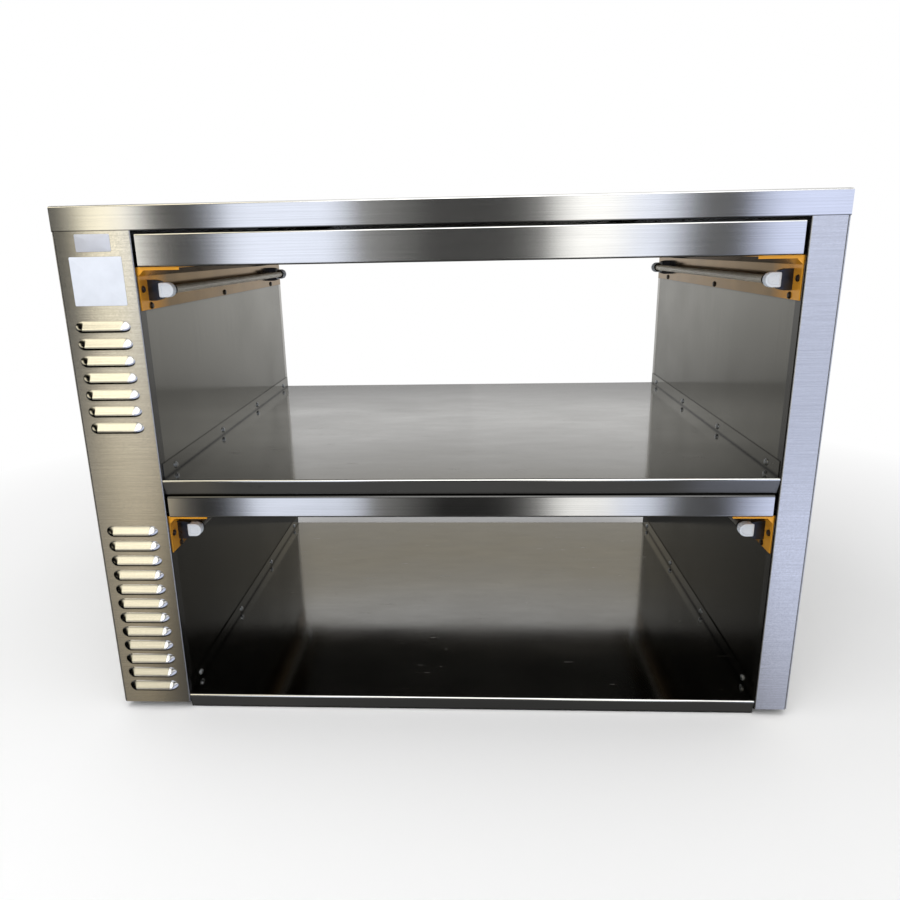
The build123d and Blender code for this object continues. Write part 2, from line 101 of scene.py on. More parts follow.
class LouvreSettings(bpy.types.PropertyGroup):
    """Sizes of the louvres in the left column's front panel."""

    width: length("Width", "Length of a louvre over its tapered ends", 68.5)
    end: length("End", "Length of a tapered end", 10.5)
    shift: length("Shift", "Louvres' middle to the left of the panel's middle", 1.8)
    height: length("Height", "From the foot of a louvre to the root of its hood", 14.0)
    depth: length("Depth", "How far the lip stands out of the panel", 6.0)
    wall: length("Wall", "Thickness of the pressed hood", 1.05)
    lip: length("Lip", "Outer radius of the hood's rolled lower edge", 3.2)
    pitch: length("Pitch", "Distance from one louvre to the next", 21.0)
    upper_count: count("Upper count", "Louvres beside the upper tier", 7)
    upper_start: length("Upper start", "Height of the lowest louvre beside the upper tier", 408.0)
    lower_count: count("Lower count", "Louvres beside the lower tier", 12)
    lower_start: length("Lower start", "Height of the lowest louvre beside the lower tier", 37.5)
    sheet: length("Sheet", "Thickness of the panel", 1.2)
    bend: length("Bend", "Outer radius of the panel's upright bends", 1.4)


class LampSettings(bpy.types.PropertyGroup):
    """Sizes of the heating tubes' caps, seals and coils."""

    cap_length: length("Cap length", "From a ceramic cap's outer face to the end of its nose", 16.0)
    nose_length: length("Nose length", "Round, tapered part of a cap", 6.0)
    nose_radius: length("Nose radius", "Radius of a cap at the end of its nose", 6.3)
    groove_depth: length("Groove depth", "Depth of the grooves round a cap", 0.6)
    seal_radius: length("Seal radius", "Radius of the black seal's section", 1.7)
    coil_pitch: length("Coil pitch", "Distance between turns of the heating coil", 3.6)
    wire_radius: length("Wire radius", "Radius of the coil's wire", 0.5)


class FastenerSettings(bpy.types.PropertyGroup):
    """Sizes and places of the screws."""

    hexagon: length("Hexagon", "Across the flats of a screw head", 6.4)
    flange: length("Flange", "Radius of the washer flange under a head", 4.3)
    head: length("Head", "Height of a screw head", 2.2)
    shelf_count: count("Shelf count", "Screws along a shelf flange", 4)
    shelf_spacing: length("Shelf spacing", "Distance between screws along a shelf flange", 190.0)
    shelf_height: length("Shelf height", "Screws above the shelf", 8.0)
    shelf_sheet: length("Shelf sheet", "Thickness of a shelf flange", 1.2)
    reflector_sheet: length("Reflector sheet", "Thickness of a reflector", 1.0)
    low_drop: length("Low drop", "Reflector screws below the ceiling", 46.5)
    cap_inset: length("Cap inset", "Reflector screws from the outer faces of the lamp caps", 5.0)
    end_drop: length("End drop", "Reflector's end screws below the ceiling", 26.0)
    end_inset: length("End inset", "Reflector's end screws from the reflector's ends", 8.0)


class PlateSettings(bpy.types.PropertyGroup):
    """Sizes and places of the two bare plates on the left column."""

    thickness: length("Thickness", "Thickness of a plate", 0.35)
    corner: length("Corner", "Corner radius of a plate", 1.5)
    white_low: plate_corner("White low", "Lower left corner of the white plate", -440.8, 559.0)
    white_high: plate_corner("White high", "Upper right corner of the white plate", -376.9, 616.0)
    silver_low: plate_corner("Silver low", "Lower left corner of the silver plate", -430.5, 621.7)
    silver_high: plate_corner("Silver high", "Upper right corner of the silver plate", -388.2, 641.8)


class ColourSettings(bpy.types.PropertyGroup):
    """Colours of the finishes."""

    stainless: finish("Stainless", "Brushed stainless sheet", "#E4E3DF")
    ground: finish("Ground", "Stainless of the columns, ground dull", "#DAD8D2")
    wall: finish("Wall", "Stainless of the inner walls and ceilings", "#A2A098")
    shelf: finish("Shelf", "Stainless of the shelves", "#B6B5B2")
    # Painted highlight: a lighter colour on the shelves' front bends
    burnished: finish("Bend highlight", "Front bends of the shelves, rubbed bright", "#E0DFDA")
    galvanised: finish("Galvanised", "Zinc-coated sheet inside the columns", "#A9AEB2")
    # Painted shade: the reflector's colour behind its front end, darker than the gilt at the front
    gilt: finish("Gilt", "Gold-toned anodised reflector", "#EFA730")
    bleached_gilt: finish("Gilt in painted shade", "Reflector where heat has bleached it", "#9B825D")
    quartz: finish("Quartz", "Milky quartz of the heating tubes", "#F6EEDC")
    ceramic: finish("Ceramic", "Steatite of the lamp caps", "#D2D9E2")
    spring: finish("Spring", "Blued spring steel of the clips", "#454953")
    zinc: finish("Zinc", "Bright zinc on screws", "#C6C9CC")
    browned_zinc: finish("Browned zinc", "Zinc on the screws near the heat", "#5A534C")
    wire: finish("Wire", "Resistance wire", "#5B5552")
    black_plastic: finish("Black plastic", "Moulded switches", "#17181A")
    black_nylon: finish("Black nylon", "Cord gland", "#1E1F20")
    phenolic: finish("Phenolic", "Terminal block", "#2A1D16")
    brass: finish("Brass", "Blade terminals", "#C9A552")
    rubber: finish("Rubber", "Seals of the heating tubes", "#101010")
    vinyl: finish("Vinyl", "White plate", "#D3D8E2")
    foil: finish("Foil", "Silver plate", "#DCDFE8")
    floor: finish("Floor", "Studio floor", "#FAFAFA")


class CabinetSettings(bpy.types.PropertyGroup):
    """All settings of the cabinet's looks."""

    louvres: PointerProperty(type=LouvreSettings)
    lamps: PointerProperty(type=LampSettings)
    fasteners: PointerProperty(type=FastenerSettings)
    plates: PointerProperty(type=PlateSettings)
    colours: PointerProperty(type=ColourSettings)


def full_turn(steps):
    """Evenly spaced angles of one turn."""
    return np.linspace(0, 2 * np.pi, steps, endpoint=False)


def grid_quads(rows, columns, wrap_rows=False, wrap_columns=False):
    """Quads between neighbouring points of a grid numbered row by row, with its ends joined if asked."""
    i = np.arange(rows if wrap_rows else rows - 1)[:, None]
    j = np.arange(columns if wrap_columns else columns - 1)[None, :]
    down, right = (i + 1) % rows, (j + 1) % columns
    corners = [i * columns + j, i * columns + right, down * columns + right, down * columns + j]
    return np.stack(corners, axis=-1).reshape(-1, 4)


def face_outwards(points, quads):
    """Turn a closed surface's faces round if the sum of its tetrahedra a . (b x c + c x d) is negative."""
    a, b, c, d = (points[quads[:, i]] for i in range(4))
    volume = np.einsum("ij,ij->", a, np.cross(b, c) + np.cross(c, d))
    return quads[:, ::-1] if volume < 0 else quads


def closed_surface(rings, wrap=False):
    """Surface through a row of rings, an array (along, around, 3).

    The row is joined to its own start, or each end runs in to the middle of its last ring.
    """
    if not wrap:
        ends = [np.broadcast_to(ring.mean(0), (1, *ring.shape)) for ring in (rings[0], rings[-1])]
        rings = np.concatenate([ends[0], rings, ends[1]])
    points = rings.reshape(-1, 3)
    quads = grid_quads(*rings.shape[:2], wrap_rows=wrap, wrap_columns=True)
    return points, face_outwards(points, quads)


def turned_rings(centre, axis, direction, profile, outline):
    """Rings of a turned shape: along the axis by the profile's first number, out by its second x outline.

    The outline is a radius for each angle round the axis, 1 all round for a plain turned shape.
    """
    angle = full_turn(len(outline))
    profile = np.asarray(profile, float)
    rings = np.zeros((len(profile), len(outline), 3))
    first, second = [i for i in (X, Y, Z) if i != axis]
    rings[..., axis] = direction * profile[:, :1]
    rings[..., first] = profile[:, 1:] * outline * np.cos(angle)
    rings[..., second] = profile[:, 1:] * outline * np.sin(angle)
    return rings + np.asarray(centre)


def copies(surface, offsets):
    """The same surface at several offsets."""
    points, quads = surface
    return [(points + np.asarray(offset), quads) for offset in offsets]


def make_piece(name, surfaces, material, replaced=()):
    """One object from several closed surfaces. Points that coincide are merged, which closes the poles."""
    starts = np.cumsum([0] + [len(points) for points, _ in surfaces[:-1]])
    points = np.concatenate([points for points, _ in surfaces])
    quads = np.concatenate([quads + start for (_, quads), start in zip(surfaces, starts)])
    mesh = bpy.data.meshes.new(name)
    mesh.from_pydata(points.tolist(), [], quads.tolist())
    shell = bmesh.new()
    shell.from_mesh(mesh)
    bmesh.ops.remove_doubles(shell, verts=shell.verts, dist=1e-7)
    shell.to_mesh(mesh)
    shell.free()
    mesh.shade_smooth()
    mesh.set_sharp_from_angle(angle=SMOOTH_ANGLE)
    mesh.materials.append(material)
    piece = bpy.data.objects.new(name, mesh)
    bpy.context.scene.collection.objects.link(piece)
    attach(piece, BODY)
    if replaced:
        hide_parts(*replaced)


def add_node(tree, kind, inputs=None, **settings):
    """Add a shader node with its settings; each input is a value or the socket that feeds it."""
    made = tree.nodes.new(kind)
    for key, value in settings.items():
        setattr(made, key, value)
    for key, value in (inputs or {}).items():
        socket = made.inputs[key]
        if isinstance(value, bpy.types.NodeSocket):
            tree.links.new(value, socket)
        else:
            socket.default_value = (*value, 1.0) if socket.type == "RGBA" else value
    return made


def new_material(name):
    """Empty material and its tree of nodes."""
    material = bpy.data.materials.new(name)
    material.use_nodes = True
    material.node_tree.nodes.clear()
    return material, material.node_tree


def close_material(material, sockets, relief=None, drawn_out=None):
    """Give a material its shader, each socket a constant or what feeds it.

    Relief is a pattern from 0 to 1 and its real depth in metres. Reflections are drawn out along the
    direction drawn_out.
    """
    tree = material.node_tree
    if relief:
        height, depth = relief
        bump = add_node(tree, "ShaderNodeBump", {"Height": height, "Distance": depth, "Strength": 1.0})
        sockets["Normal"] = bump.outputs["Normal"]
    if drawn_out:
        tangent = add_node(tree, "ShaderNodeCombineXYZ", dict(zip("XYZ", drawn_out)))
        sockets["Tangent"] = tangent.outputs["Vector"]
    shader = add_node(tree, "ShaderNodeBsdfPrincipled", sockets)
    add_node(tree, "ShaderNodeOutputMaterial", {"Surface": shader.outputs["BSDF"]})
    return material


def pattern(tree, millimetres, detail=3.0, roughness=0.55):
    """Noise on Object coordinates, whose lumps have the given size along X, Y and Z."""
    place = add_node(tree, "ShaderNodeTexCoord").outputs["Object"]
    scale = [1 / (size * MM) for size in np.broadcast_to(millimetres, 3)]
    mapped = add_node(tree, "ShaderNodeMapping", {"Vector": place, "Scale": scale}).outputs["Vector"]
    inputs = {"Vector": mapped, "Scale": 1.0, "Detail": detail, "Roughness": roughness}
    return add_node(tree, "ShaderNodeTexNoise", inputs).outputs["Fac"]


def position(tree):
    """Sockets of the Object coordinates X, Y and Z."""
    place = add_node(tree, "ShaderNodeTexCoord").outputs["Object"]
    return add_node(tree, "ShaderNodeSeparateXYZ", {"Vector": place}).outputs


def graded(tree, source, first, second, start=0.3, stop=0.7, most=1.0):
    """First turning into second while the source goes from start to stop.

    They are numbers, or colours, of which the second covers the first up to the share most.
    """
    numbers = isinstance(second, (int, float))
    low, high = (first, second) if numbers else (0.0, most)
    inputs = {"Value": source, "From Min": start, "From Max": stop, "To Min": low, "To Max": high}
    share = add_node(tree, "ShaderNodeMapRange", inputs).outputs["Result"]
    if numbers:
        return share
    return add_node(tree, "ShaderNodeMix", {0: share, 6: first, 7: second}, data_type="RGBA").outputs[2]


def shade(colour, factor):
    """A colour made darker or lighter by a factor."""
    return tuple(min(1.0, channel * factor) for channel in colour)


def shades(colour, *factors):
    """A colour made darker or lighter by each of several factors."""
    return [shade(colour, factor) for factor in factors]


def shade_in_corners(tree, tone):
    """Painted shade: colour that darkens in corners and joints, where ambient occlusion finds other
    surfaces close by.
    """
    reach = 5 * MM
    clear = add_node(tree, "ShaderNodeAmbientOcclusion", {"Distance": reach}, samples=4).outputs["AO"]
    return graded(tree, clear, tone, linear(CORNER_SHADE), start=0.9, stop=0.4, most=0.95)


def brushed_stainless(name, colour, grain, across, roughness, anisotropy, depth, darkened=None):
    """Stainless sheet brushed by a belt along one axis, or along two where sheets face different ways.

    The scratches spread each reflection across the grain into a long streak and keep it sharp along the
    grain, and leave fine light and dark lines. Real scratches are about 0.05 mm wide; they are drawn
    0.9 mm wide so that they show. Handling leaves broad, faint smudges. Where darkened gives a start, a
    stop and a share, the sheet is darkened from the start height on to the stop height, to that share of
    its
    colour: a painted shade along the cover's lower edge, the lower headers' top edges and the walls of the
    lower tier.
    """
    material, tree = new_material(name)
    streak_length, streak_width, smudge_size = 140, 0.9, 130
    size = np.full(3, streak_width)
    size[grain] = streak_length
    streaks = pattern(tree, size, detail=4.0)
    smudges = pattern(tree, smudge_size, detail=5.0)
    dark_line, light_line, smudge = shades(colour, 0.92, 1.06, 0.8)
    tone = graded(tree, streaks, dark_line, light_line)
    tone = graded(tree, smudges, tone, smudge, most=0.25)
    # Painted shade from one height on to another
    if darkened:
        start, stop, share = darkened
        tone = graded(tree, position(tree)["Z"], tone, shade(colour, share), start, stop)
    return close_material(material, {
        "Base Color": shade_in_corners(tree, tone),
        "Metallic": 1.0,
        "Roughness": graded(tree, smudges, roughness - 0.02, roughness + 0.03),
        "Anisotropic": anisotropy,
    }, relief=(streaks, depth), drawn_out=across)


def ground_stainless(name, colour, front):
    """Stainless sheet of the columns, ground along X with a coarse belt, so rather dull.

    The grinding draws reflections out upwards and leaves short lines, drawn wider than real ones so that
    they show, and a fine speckle. The die has polished the louvres, which are what stands in front of the
    panels' face. What lies behind the face, the panels' folded edges, is darkened, a painted shade, and so
    is what faces down, such as the louvres' lips.
    """
    material, tree = new_material(name)
    lines = pattern(tree, (50, 0.9, 0.9), detail=4.0)
    speckle = pattern(tree, 1.7)
    depth = position(tree)["Y"]
    normal = add_node(tree, "ShaderNodeNewGeometry").outputs["Normal"]
    up = add_node(tree, "ShaderNodeSeparateXYZ", {"Vector": normal}).outputs["Z"]
    dark_line, light_line, speck, fold_shade, underside_shade = shades(colour, 0.9, 1.08, 0.82, 0.3, 0.1)
    tone = graded(tree, lines, dark_line, light_line)
    tone = graded(tree, speckle, tone, speck, most=0.45)
    # Painted shade on the folded edges behind the panels' face
    tone = graded(tree, depth, tone, fold_shade, start=front + 0.05 * MM, stop=front + 0.4 * MM)
    # Painted shade on what faces down, such as the louvres' lips
    tone = graded(tree, up, tone, underside_shade, start=-0.04, stop=-0.3)
    ground = graded(tree, speckle, 0.13, 0.17)
    pressed = graded(tree, depth, 0.0, 1.0, start=front - 0.3 * MM, stop=front - 1.2 * MM)
    return close_material(material, {
        "Base Color": shade_in_corners(tree, tone),
        "Metallic": 1.0,
        "Roughness": graded(tree, pressed, ground, 0.15, start=0, stop=1),
        "Anisotropic": graded(tree, pressed, 1.0, 0.0, start=0, stop=1),
    }, relief=(lines, 0.005 * MM), drawn_out=(0, -1, 1))


def shelf_stainless(name, colour, flange, burnished, level, low):
    """Stainless sheet of a shelf, brushed from side to side and rubbed by pans.

    The brushing keeps reflections sharp sideways and draws them out from front to back. Pans leave drag
    scratches, drawn wider than real ones so that they show, scuffs, cloudy wipe marks and a few dull spots.
    The front bend is lightened, a painted highlight. The side flanges, which stand over the shelf's level,
    have the walls' colour, and the apron's lower edge is darkened, a painted shade. The corner low is the
    shelf's lowest and foremost.
    """
    material, tree = new_material(name)
    drags = pattern(tree, (90, 1.1, 1.1), detail=4.0)
    clouds = pattern(tree, (170, 80, 80), detail=6.0, roughness=0.6)
    wipes = pattern(tree, (70, 24, 24), detail=5.0)
    scuffs = pattern(tree, (45, 4, 4))
    spots = pattern(tree, (16, 9, 9), detail=2.0)
    place = position(tree)
    dark_drag, light_drag, rubbed, spot, edge = shades(colour, 0.95, 1.06, 0.82, 0.6, 0.25)
    tone = graded(tree, drags, dark_drag, light_drag)
    tone = graded(tree, clouds, tone, rubbed, most=0.45)
    tone = graded(tree, wipes, tone, rubbed, most=0.5)
    tone = graded(tree, spots, tone, spot, start=0.7, stop=0.75, most=0.35)
    tone = graded(tree, place["Z"], tone, flange, start=level + 0.5 * MM, stop=level + 2 * MM)
    # Painted shade along the apron's lower edge
    tone = graded(tree, place["Z"], tone, edge, start=low.z + 2.6 * MM, stop=low.z + 0.8 * MM)
    # Painted highlight on the shelf's front bend
    bend = graded(tree, place["Z"], tone, burnished, start=level - 3.5 * MM, stop=level - 2.5 * MM)
    tone = graded(tree, place["Y"], tone, bend, start=low.y + 3.5 * MM, stop=low.y + 2 * MM)
    worn = graded(tree, clouds, 0.09, 0.13)
    return close_material(material, {
        "Base Color": shade_in_corners(tree, tone),
        "Metallic": 1.0,
        "Roughness": graded(tree, scuffs, worn, 0.3, start=0.68, stop=0.76),
        "Anisotropic": 0.5,
    }, relief=(drags, 0.003 * MM), drawn_out=(0, -1, 1))


def galvanised_steel(name, colour):
    """Zinc-coated sheet: flat crystals about 9 mm across, each a slightly different grey."""
    material, tree = new_material(name)
    crystal = 9 * MM
    place = add_node(tree, "ShaderNodeTexCoord").outputs["Object"]
    crystals = add_node(tree, "ShaderNodeTexVoronoi", {"Vector": place, "Scale": 1 / crystal})
    flake = add_node(tree, "ShaderNodeSeparateColor", {"Color": crystals.outputs["Color"]}).outputs["Red"]
    dark_flake, light_flake = shades(colour, 0.75, 1.1)
    return close_material(material, {
        "Base Color": graded(tree, flake, dark_flake, light_flake, start=0, stop=1),
        "Metallic": 1.0,
        "Roughness": graded(tree, flake, 0.35, 0.55, start=0, stop=1),
    })


def gilt_reflector(name, colour, bleached, front, tinted):
    """Gold-toned anodised aluminium, rolled along the reflector, with a satin gloss.

    The gold keeps its full colour at the reflector's front end, where it is matt. Behind the front end the
    colour turns darker, a painted shade of the bay, with uneven stains, and below the tinted level, in the
    lower bay, it is darker still, also a painted shade. The lines of the rolling are drawn wider than real
    ones so that they show.
    """
    material, tree = new_material(name)
    roll = pattern(tree, (0.9, 120, 0.9), detail=4.0)
    stain = pattern(tree, 60, detail=4.0)
    place = position(tree)
    darkened, stained = shades(bleached, 0.37, 0.45)
    # Painted shade: darker below the tinted level, in the lower bay
    deeper_tone = graded(tree, place["Z"], bleached, darkened, start=tinted, stop=tinted - 20 * MM)
    deeper_tone = graded(tree, stain, deeper_tone, stained, most=0.45)
    # Painted shade: darker behind the reflector's front end
    tone = graded(tree, place["Y"], colour, deeper_tone, start=front + 28 * MM, stop=front + 84 * MM)
    tone = graded(tree, roll, tone, shade(colour, 0.6), most=0.12)
    return close_material(material, {
        "Base Color": tone,
        "Metallic": graded(tree, place["Y"], 0.3, 1.0, start=front + 20 * MM, stop=front + 45 * MM),
        "Roughness": graded(tree, roll, 0.14, 0.2),
    }, relief=(roll, 0.003 * MM))


def milky_quartz(name, colour, front):
    """Fused quartz drawn milky: light passes, but the coil inside is only a soft shadow.

    Towards its front end, in the header's shade, it is darkened: a painted shade.
    """
    material, tree = new_material(name)
    draw = pattern(tree, (2, 70, 2))
    dark_line, light_line, front_shade = shades(colour, 0.88, 1.06, 0.3)
    tone = graded(tree, draw, dark_line, light_line)
    # Painted shade towards the tube's front end
    tone = graded(tree, position(tree)["Y"], tone, front_shade, start=front + 420 * MM, stop=front, most=0.75)
    return close_material(material, {
        "Base Color": tone,
        "Roughness": graded(tree, draw, 0.22, 0.34),
        "IOR": 1.46,
        "Transmission Weight": 0.08,
    })


def steatite(name, colour):
    """Pressed and fired white ceramic, unglazed: a matt face with a fine grain and a few grey flecks."""
    material, tree = new_material(name)
    grain = pattern(tree, 0.7, detail=4.0)
    flecks = pattern(tree, 2.2, detail=2.0)
    dark_grain, light_grain, fleck = shades(colour, 0.94, 1.02, 0.6)
    tone = graded(tree, grain, dark_grain, light_grain)
    return close_material(material, {
        "Base Color": graded(tree, flecks, tone, fleck, start=0.68, stop=0.74, most=0.5),
        "Roughness": graded(tree, grain, 0.55, 0.7),
        "IOR": 1.55,
    }, relief=(grain, 0.05 * MM))


def dull_metal(name, colour, roughness, lump):
    """Small metal parts, plated or blued: an even satin gloss with slight patches of wear."""
    material, tree = new_material(name)
    patches = pattern(tree, lump, detail=4.0)
    dulled, rubbed = shades(colour, 0.8, 1.12)
    return close_material(material, {
        "Base Color": graded(tree, patches, dulled, rubbed),
        "Metallic": 1.0,
        "Roughness": graded(tree, patches, roughness - 0.08, roughness + 0.08),
    })


def moulded_plastic(name, colour, roughness, texture):
    """Moulded plastic: a fine spark-eroded texture from the mould, and slightly uneven gloss."""
    material, tree = new_material(name)
    grain = pattern(tree, texture)
    cloud = pattern(tree, 12)
    dark_cloud, light_cloud = shades(colour, 0.85, 1.2)
    return close_material(material, {
        "Base Color": graded(tree, cloud, dark_cloud, light_cloud),
        "Roughness": graded(tree, grain, roughness - 0.08, roughness + 0.1),
        "IOR": 1.5,
    }, relief=(grain, 0.03 * MM))


def adhesive_film(name, colour, metallic, roughness):
    """Adhesive film of a bare plate: smooth, with slight waviness where it lies on the sheet."""
    material, tree = new_material(name)
    wave = pattern(tree, 16)
    trough, crest = shades(colour, 0.95, 1.02)
    return close_material(material, {
        "Base Color": graded(tree, wave, trough, crest),
        "Metallic": metallic,
        "Roughness": graded(tree, wave, roughness - 0.05, roughness + 0.08),
        "IOR": 1.5,
    }, relief=(wave, 0.05 * MM))


def material_named(name, maker, **details):
    """The material of that name, made on first use."""
    return bpy.data.materials.get(name) or maker(name, **details)


def column_front():
    """Y of the columns' front face."""
    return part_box("right_front_panel")[0].y


def column_stainless(colours):
    """Finish of the columns' panels."""
    return material_named(
        "Stainless, ground", ground_stainless, colour=colours.ground, front=column_front())


def tier_levels(tier):
    """Shelf surface and ceiling of a tier. The shelf's side flanges stand over its surface."""
    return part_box(f"{tier}_shelf")[1].z - SHELF_FLANGE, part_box(f"{tier}_ceiling")[0].z


def wall_face(side):
    """X of the inner wall's face towards the bays."""
    low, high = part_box(f"{side}_inner_wall")
    return high.x if INWARD[side] > 0 else low.x


class CABINET_OT_louvred_panel(bpy.types.Operator):
    """Make the left column's front panel with its pressed louvres"""

    bl_idname = "cabinet.louvred_panel"
    bl_label = "Louvred panel"

    def execute(self, context):
        sizes = context.scene.cabinet.louvres
        low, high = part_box("left_front_panel")
        front = column_front()
        levels = np.concatenate([
            sizes.upper_start + sizes.pitch * np.arange(sizes.upper_count),
            sizes.lower_start + sizes.pitch * np.arange(sizes.lower_count),
        ])
        middle = (low.x + high.x) / 2 - sizes.shift
        surfaces = [self.sheet(sizes, low, high, front, middle, np.sort(levels))]
        hood = closed_surface(self.hood(sizes))
        surfaces += copies(hood, [(middle, front, z) for z in levels])
        make_piece(
            "louvred_front_panel", surfaces, column_stainless(context.scene.cabinet.colours),
            ["left_front_panel"],
        )
        return {"FINISHED"}

    @staticmethod
    def hood(sizes):
        """Rings of one hood: its section carried from end to end, and drawn in to nothing at both ends.

        The outer skin leaves the sheet in a soft bend, out by (sqrt(t^2 + e^2) - e) / (sqrt(1 + e^2) - e)
        at the fraction t of the slope, where e is its ease, and runs on into a rolled lip, an arc that the
        slope touches. The slope's angle b follows from up * sin(b) - out * cos(b) = lip radius, where out
        and up lead from the root to the arc's centre. The inner skin is one wall behind. At the fraction f
        of an end the section is (1 - f^1.3)^0.9 times as deep and (1 - f^2.2)^0.5 times as high, so that
        the hood slopes down to the panel within a round outline.
        """
        ease, lip_end = 0.09, np.radians(-85)
        slope_points, lip_points, end_points = 10, 12, 16
        out, up = sizes.depth - sizes.lip, sizes.height - sizes.lip
        slope = np.arcsin(sizes.lip / np.hypot(out, up)) + np.arctan2(out, up)
        t = np.linspace(0, 1, slope_points)
        eased = (np.hypot(t, ease) - ease) / (np.hypot(1, ease) - ease)
        roll = np.linspace(slope, lip_end, lip_points)

        def skin(radius):
            arc_out, arc_up = out + radius * np.cos(roll), radius * np.sin(roll) - up
            root = radius - sizes.lip
            return (np.concatenate([root + (arc_out[0] - root) * eased, arc_out[1:]]),
                    np.concatenate([arc_up[0] * t, arc_up[1:]]) + sizes.height / 2)

        outer, inner = skin(sizes.lip), skin(sizes.lip - sizes.wall)
        across, rise = (np.concatenate([a, b[::-1]]) for a, b in zip(outer, inner))
        fraction = np.concatenate([[0.0], np.linspace(0, 0.99, end_points)])
        along = sizes.width / 2 - sizes.end + sizes.end * fraction
        along[0] -= 0.5 * MM  # a ring beside the end keeps the shading of the straight part level
        deep, tall = (1 - fraction**1.3) ** 0.9, (1 - fraction**2.2) ** 0.5
        along, deep, tall = (
            np.concatenate([way * a[::-1], a])[:, None] for way, a in ((-1, along), (1, deep), (1, tall))
        )
        rings = np.empty((2 * len(fraction), len(across), 3))
        rings[..., X] = along
        rings[..., Y] = -deep * across
        rings[..., Z] = tall * rise
        return rings

    @staticmethod
    def sheet(sizes, low, high, front, middle, levels):
        """Bent sheet with a slot behind every hood.

        The section runs round the outer skin, with quarter circles at its two bends, and back along the
        inner skin. Points just beside the bends keep the flats' shading flat. The section is carried up
        through the edges of the slots, the quads over each slot are left out and four quads line each
        slot's edge.
        """
        straight, beside = sizes.width / 2 - sizes.end, 0.4 * MM
        slot_top = sizes.height / 2 - sizes.wall * sizes.height / sizes.depth
        quarter = np.linspace(0, np.pi / 2, 7)

        def skin(inset, radius):
            left, right, face = low.x + inset, high.x - inset, front + inset
            off = radius + beside
            x = [[left, left], left + radius - radius * np.cos(quarter),
                 [left + off, middle - straight, middle + straight, right - off],
                 right - radius + radius * np.sin(quarter), [right, right]]
            y = [[high.y, face + off], face + radius - radius * np.sin(quarter), [face] * 4,
                 face + radius - radius * np.cos(quarter), [face + off, high.y]]
            return np.stack([np.concatenate(x), np.concatenate(y)], axis=1)

        outer = skin(0.0, sizes.bend)
        inner = skin(sizes.sheet, sizes.bend - sizes.sheet)[::-1]
        section = np.concatenate([outer, inner])
        around, one_skin = len(section), len(outer)
        slots = np.stack([levels - sizes.height / 2, levels + slot_top], axis=1).ravel()
        heights = np.concatenate([[low.z], slots, [high.z]])
        rings = np.empty((len(heights), around, 3))
        rings[..., :2] = section
        rings[..., Z] = heights[:, None]
        points = rings.reshape(-1, 3)
        quads = grid_quads(len(heights), around, wrap_columns=True).reshape(len(heights) - 1, around, 4)
        edge = 3 + len(quarter)  # the point where the slots begin on the outer skin
        back = around - 2 - edge
        keep = np.ones(quads.shape[:2], bool)
        keep[1::2, [edge, back]] = False
        row = np.arange(1, len(heights) - 1, 2)
        corners = [row * around + edge, row * around + edge + 1,
                   (row + 1) * around + edge + 1, (row + 1) * around + edge]
        behind = [row * around + back + 1, row * around + back,
                  (row + 1) * around + back, (row + 1) * around + back + 1]
        lining = [
            np.stack([corners[i], behind[i], behind[(i + 1) % 4], corners[(i + 1) % 4]], axis=1)
            for i in range(4)
        ]
        strip = np.arange(one_skin - 1)
        ends = [
            base + np.stack([strip, around - 1 - strip, around - 2 - strip, strip + 1], axis=1)[:, ::turn]
            for base, turn in ((0, 1), ((len(heights) - 1) * around, -1))
        ]
        quads = np.concatenate([quads[keep], *lining, *ends])
        return points, face_outwards(points, quads)


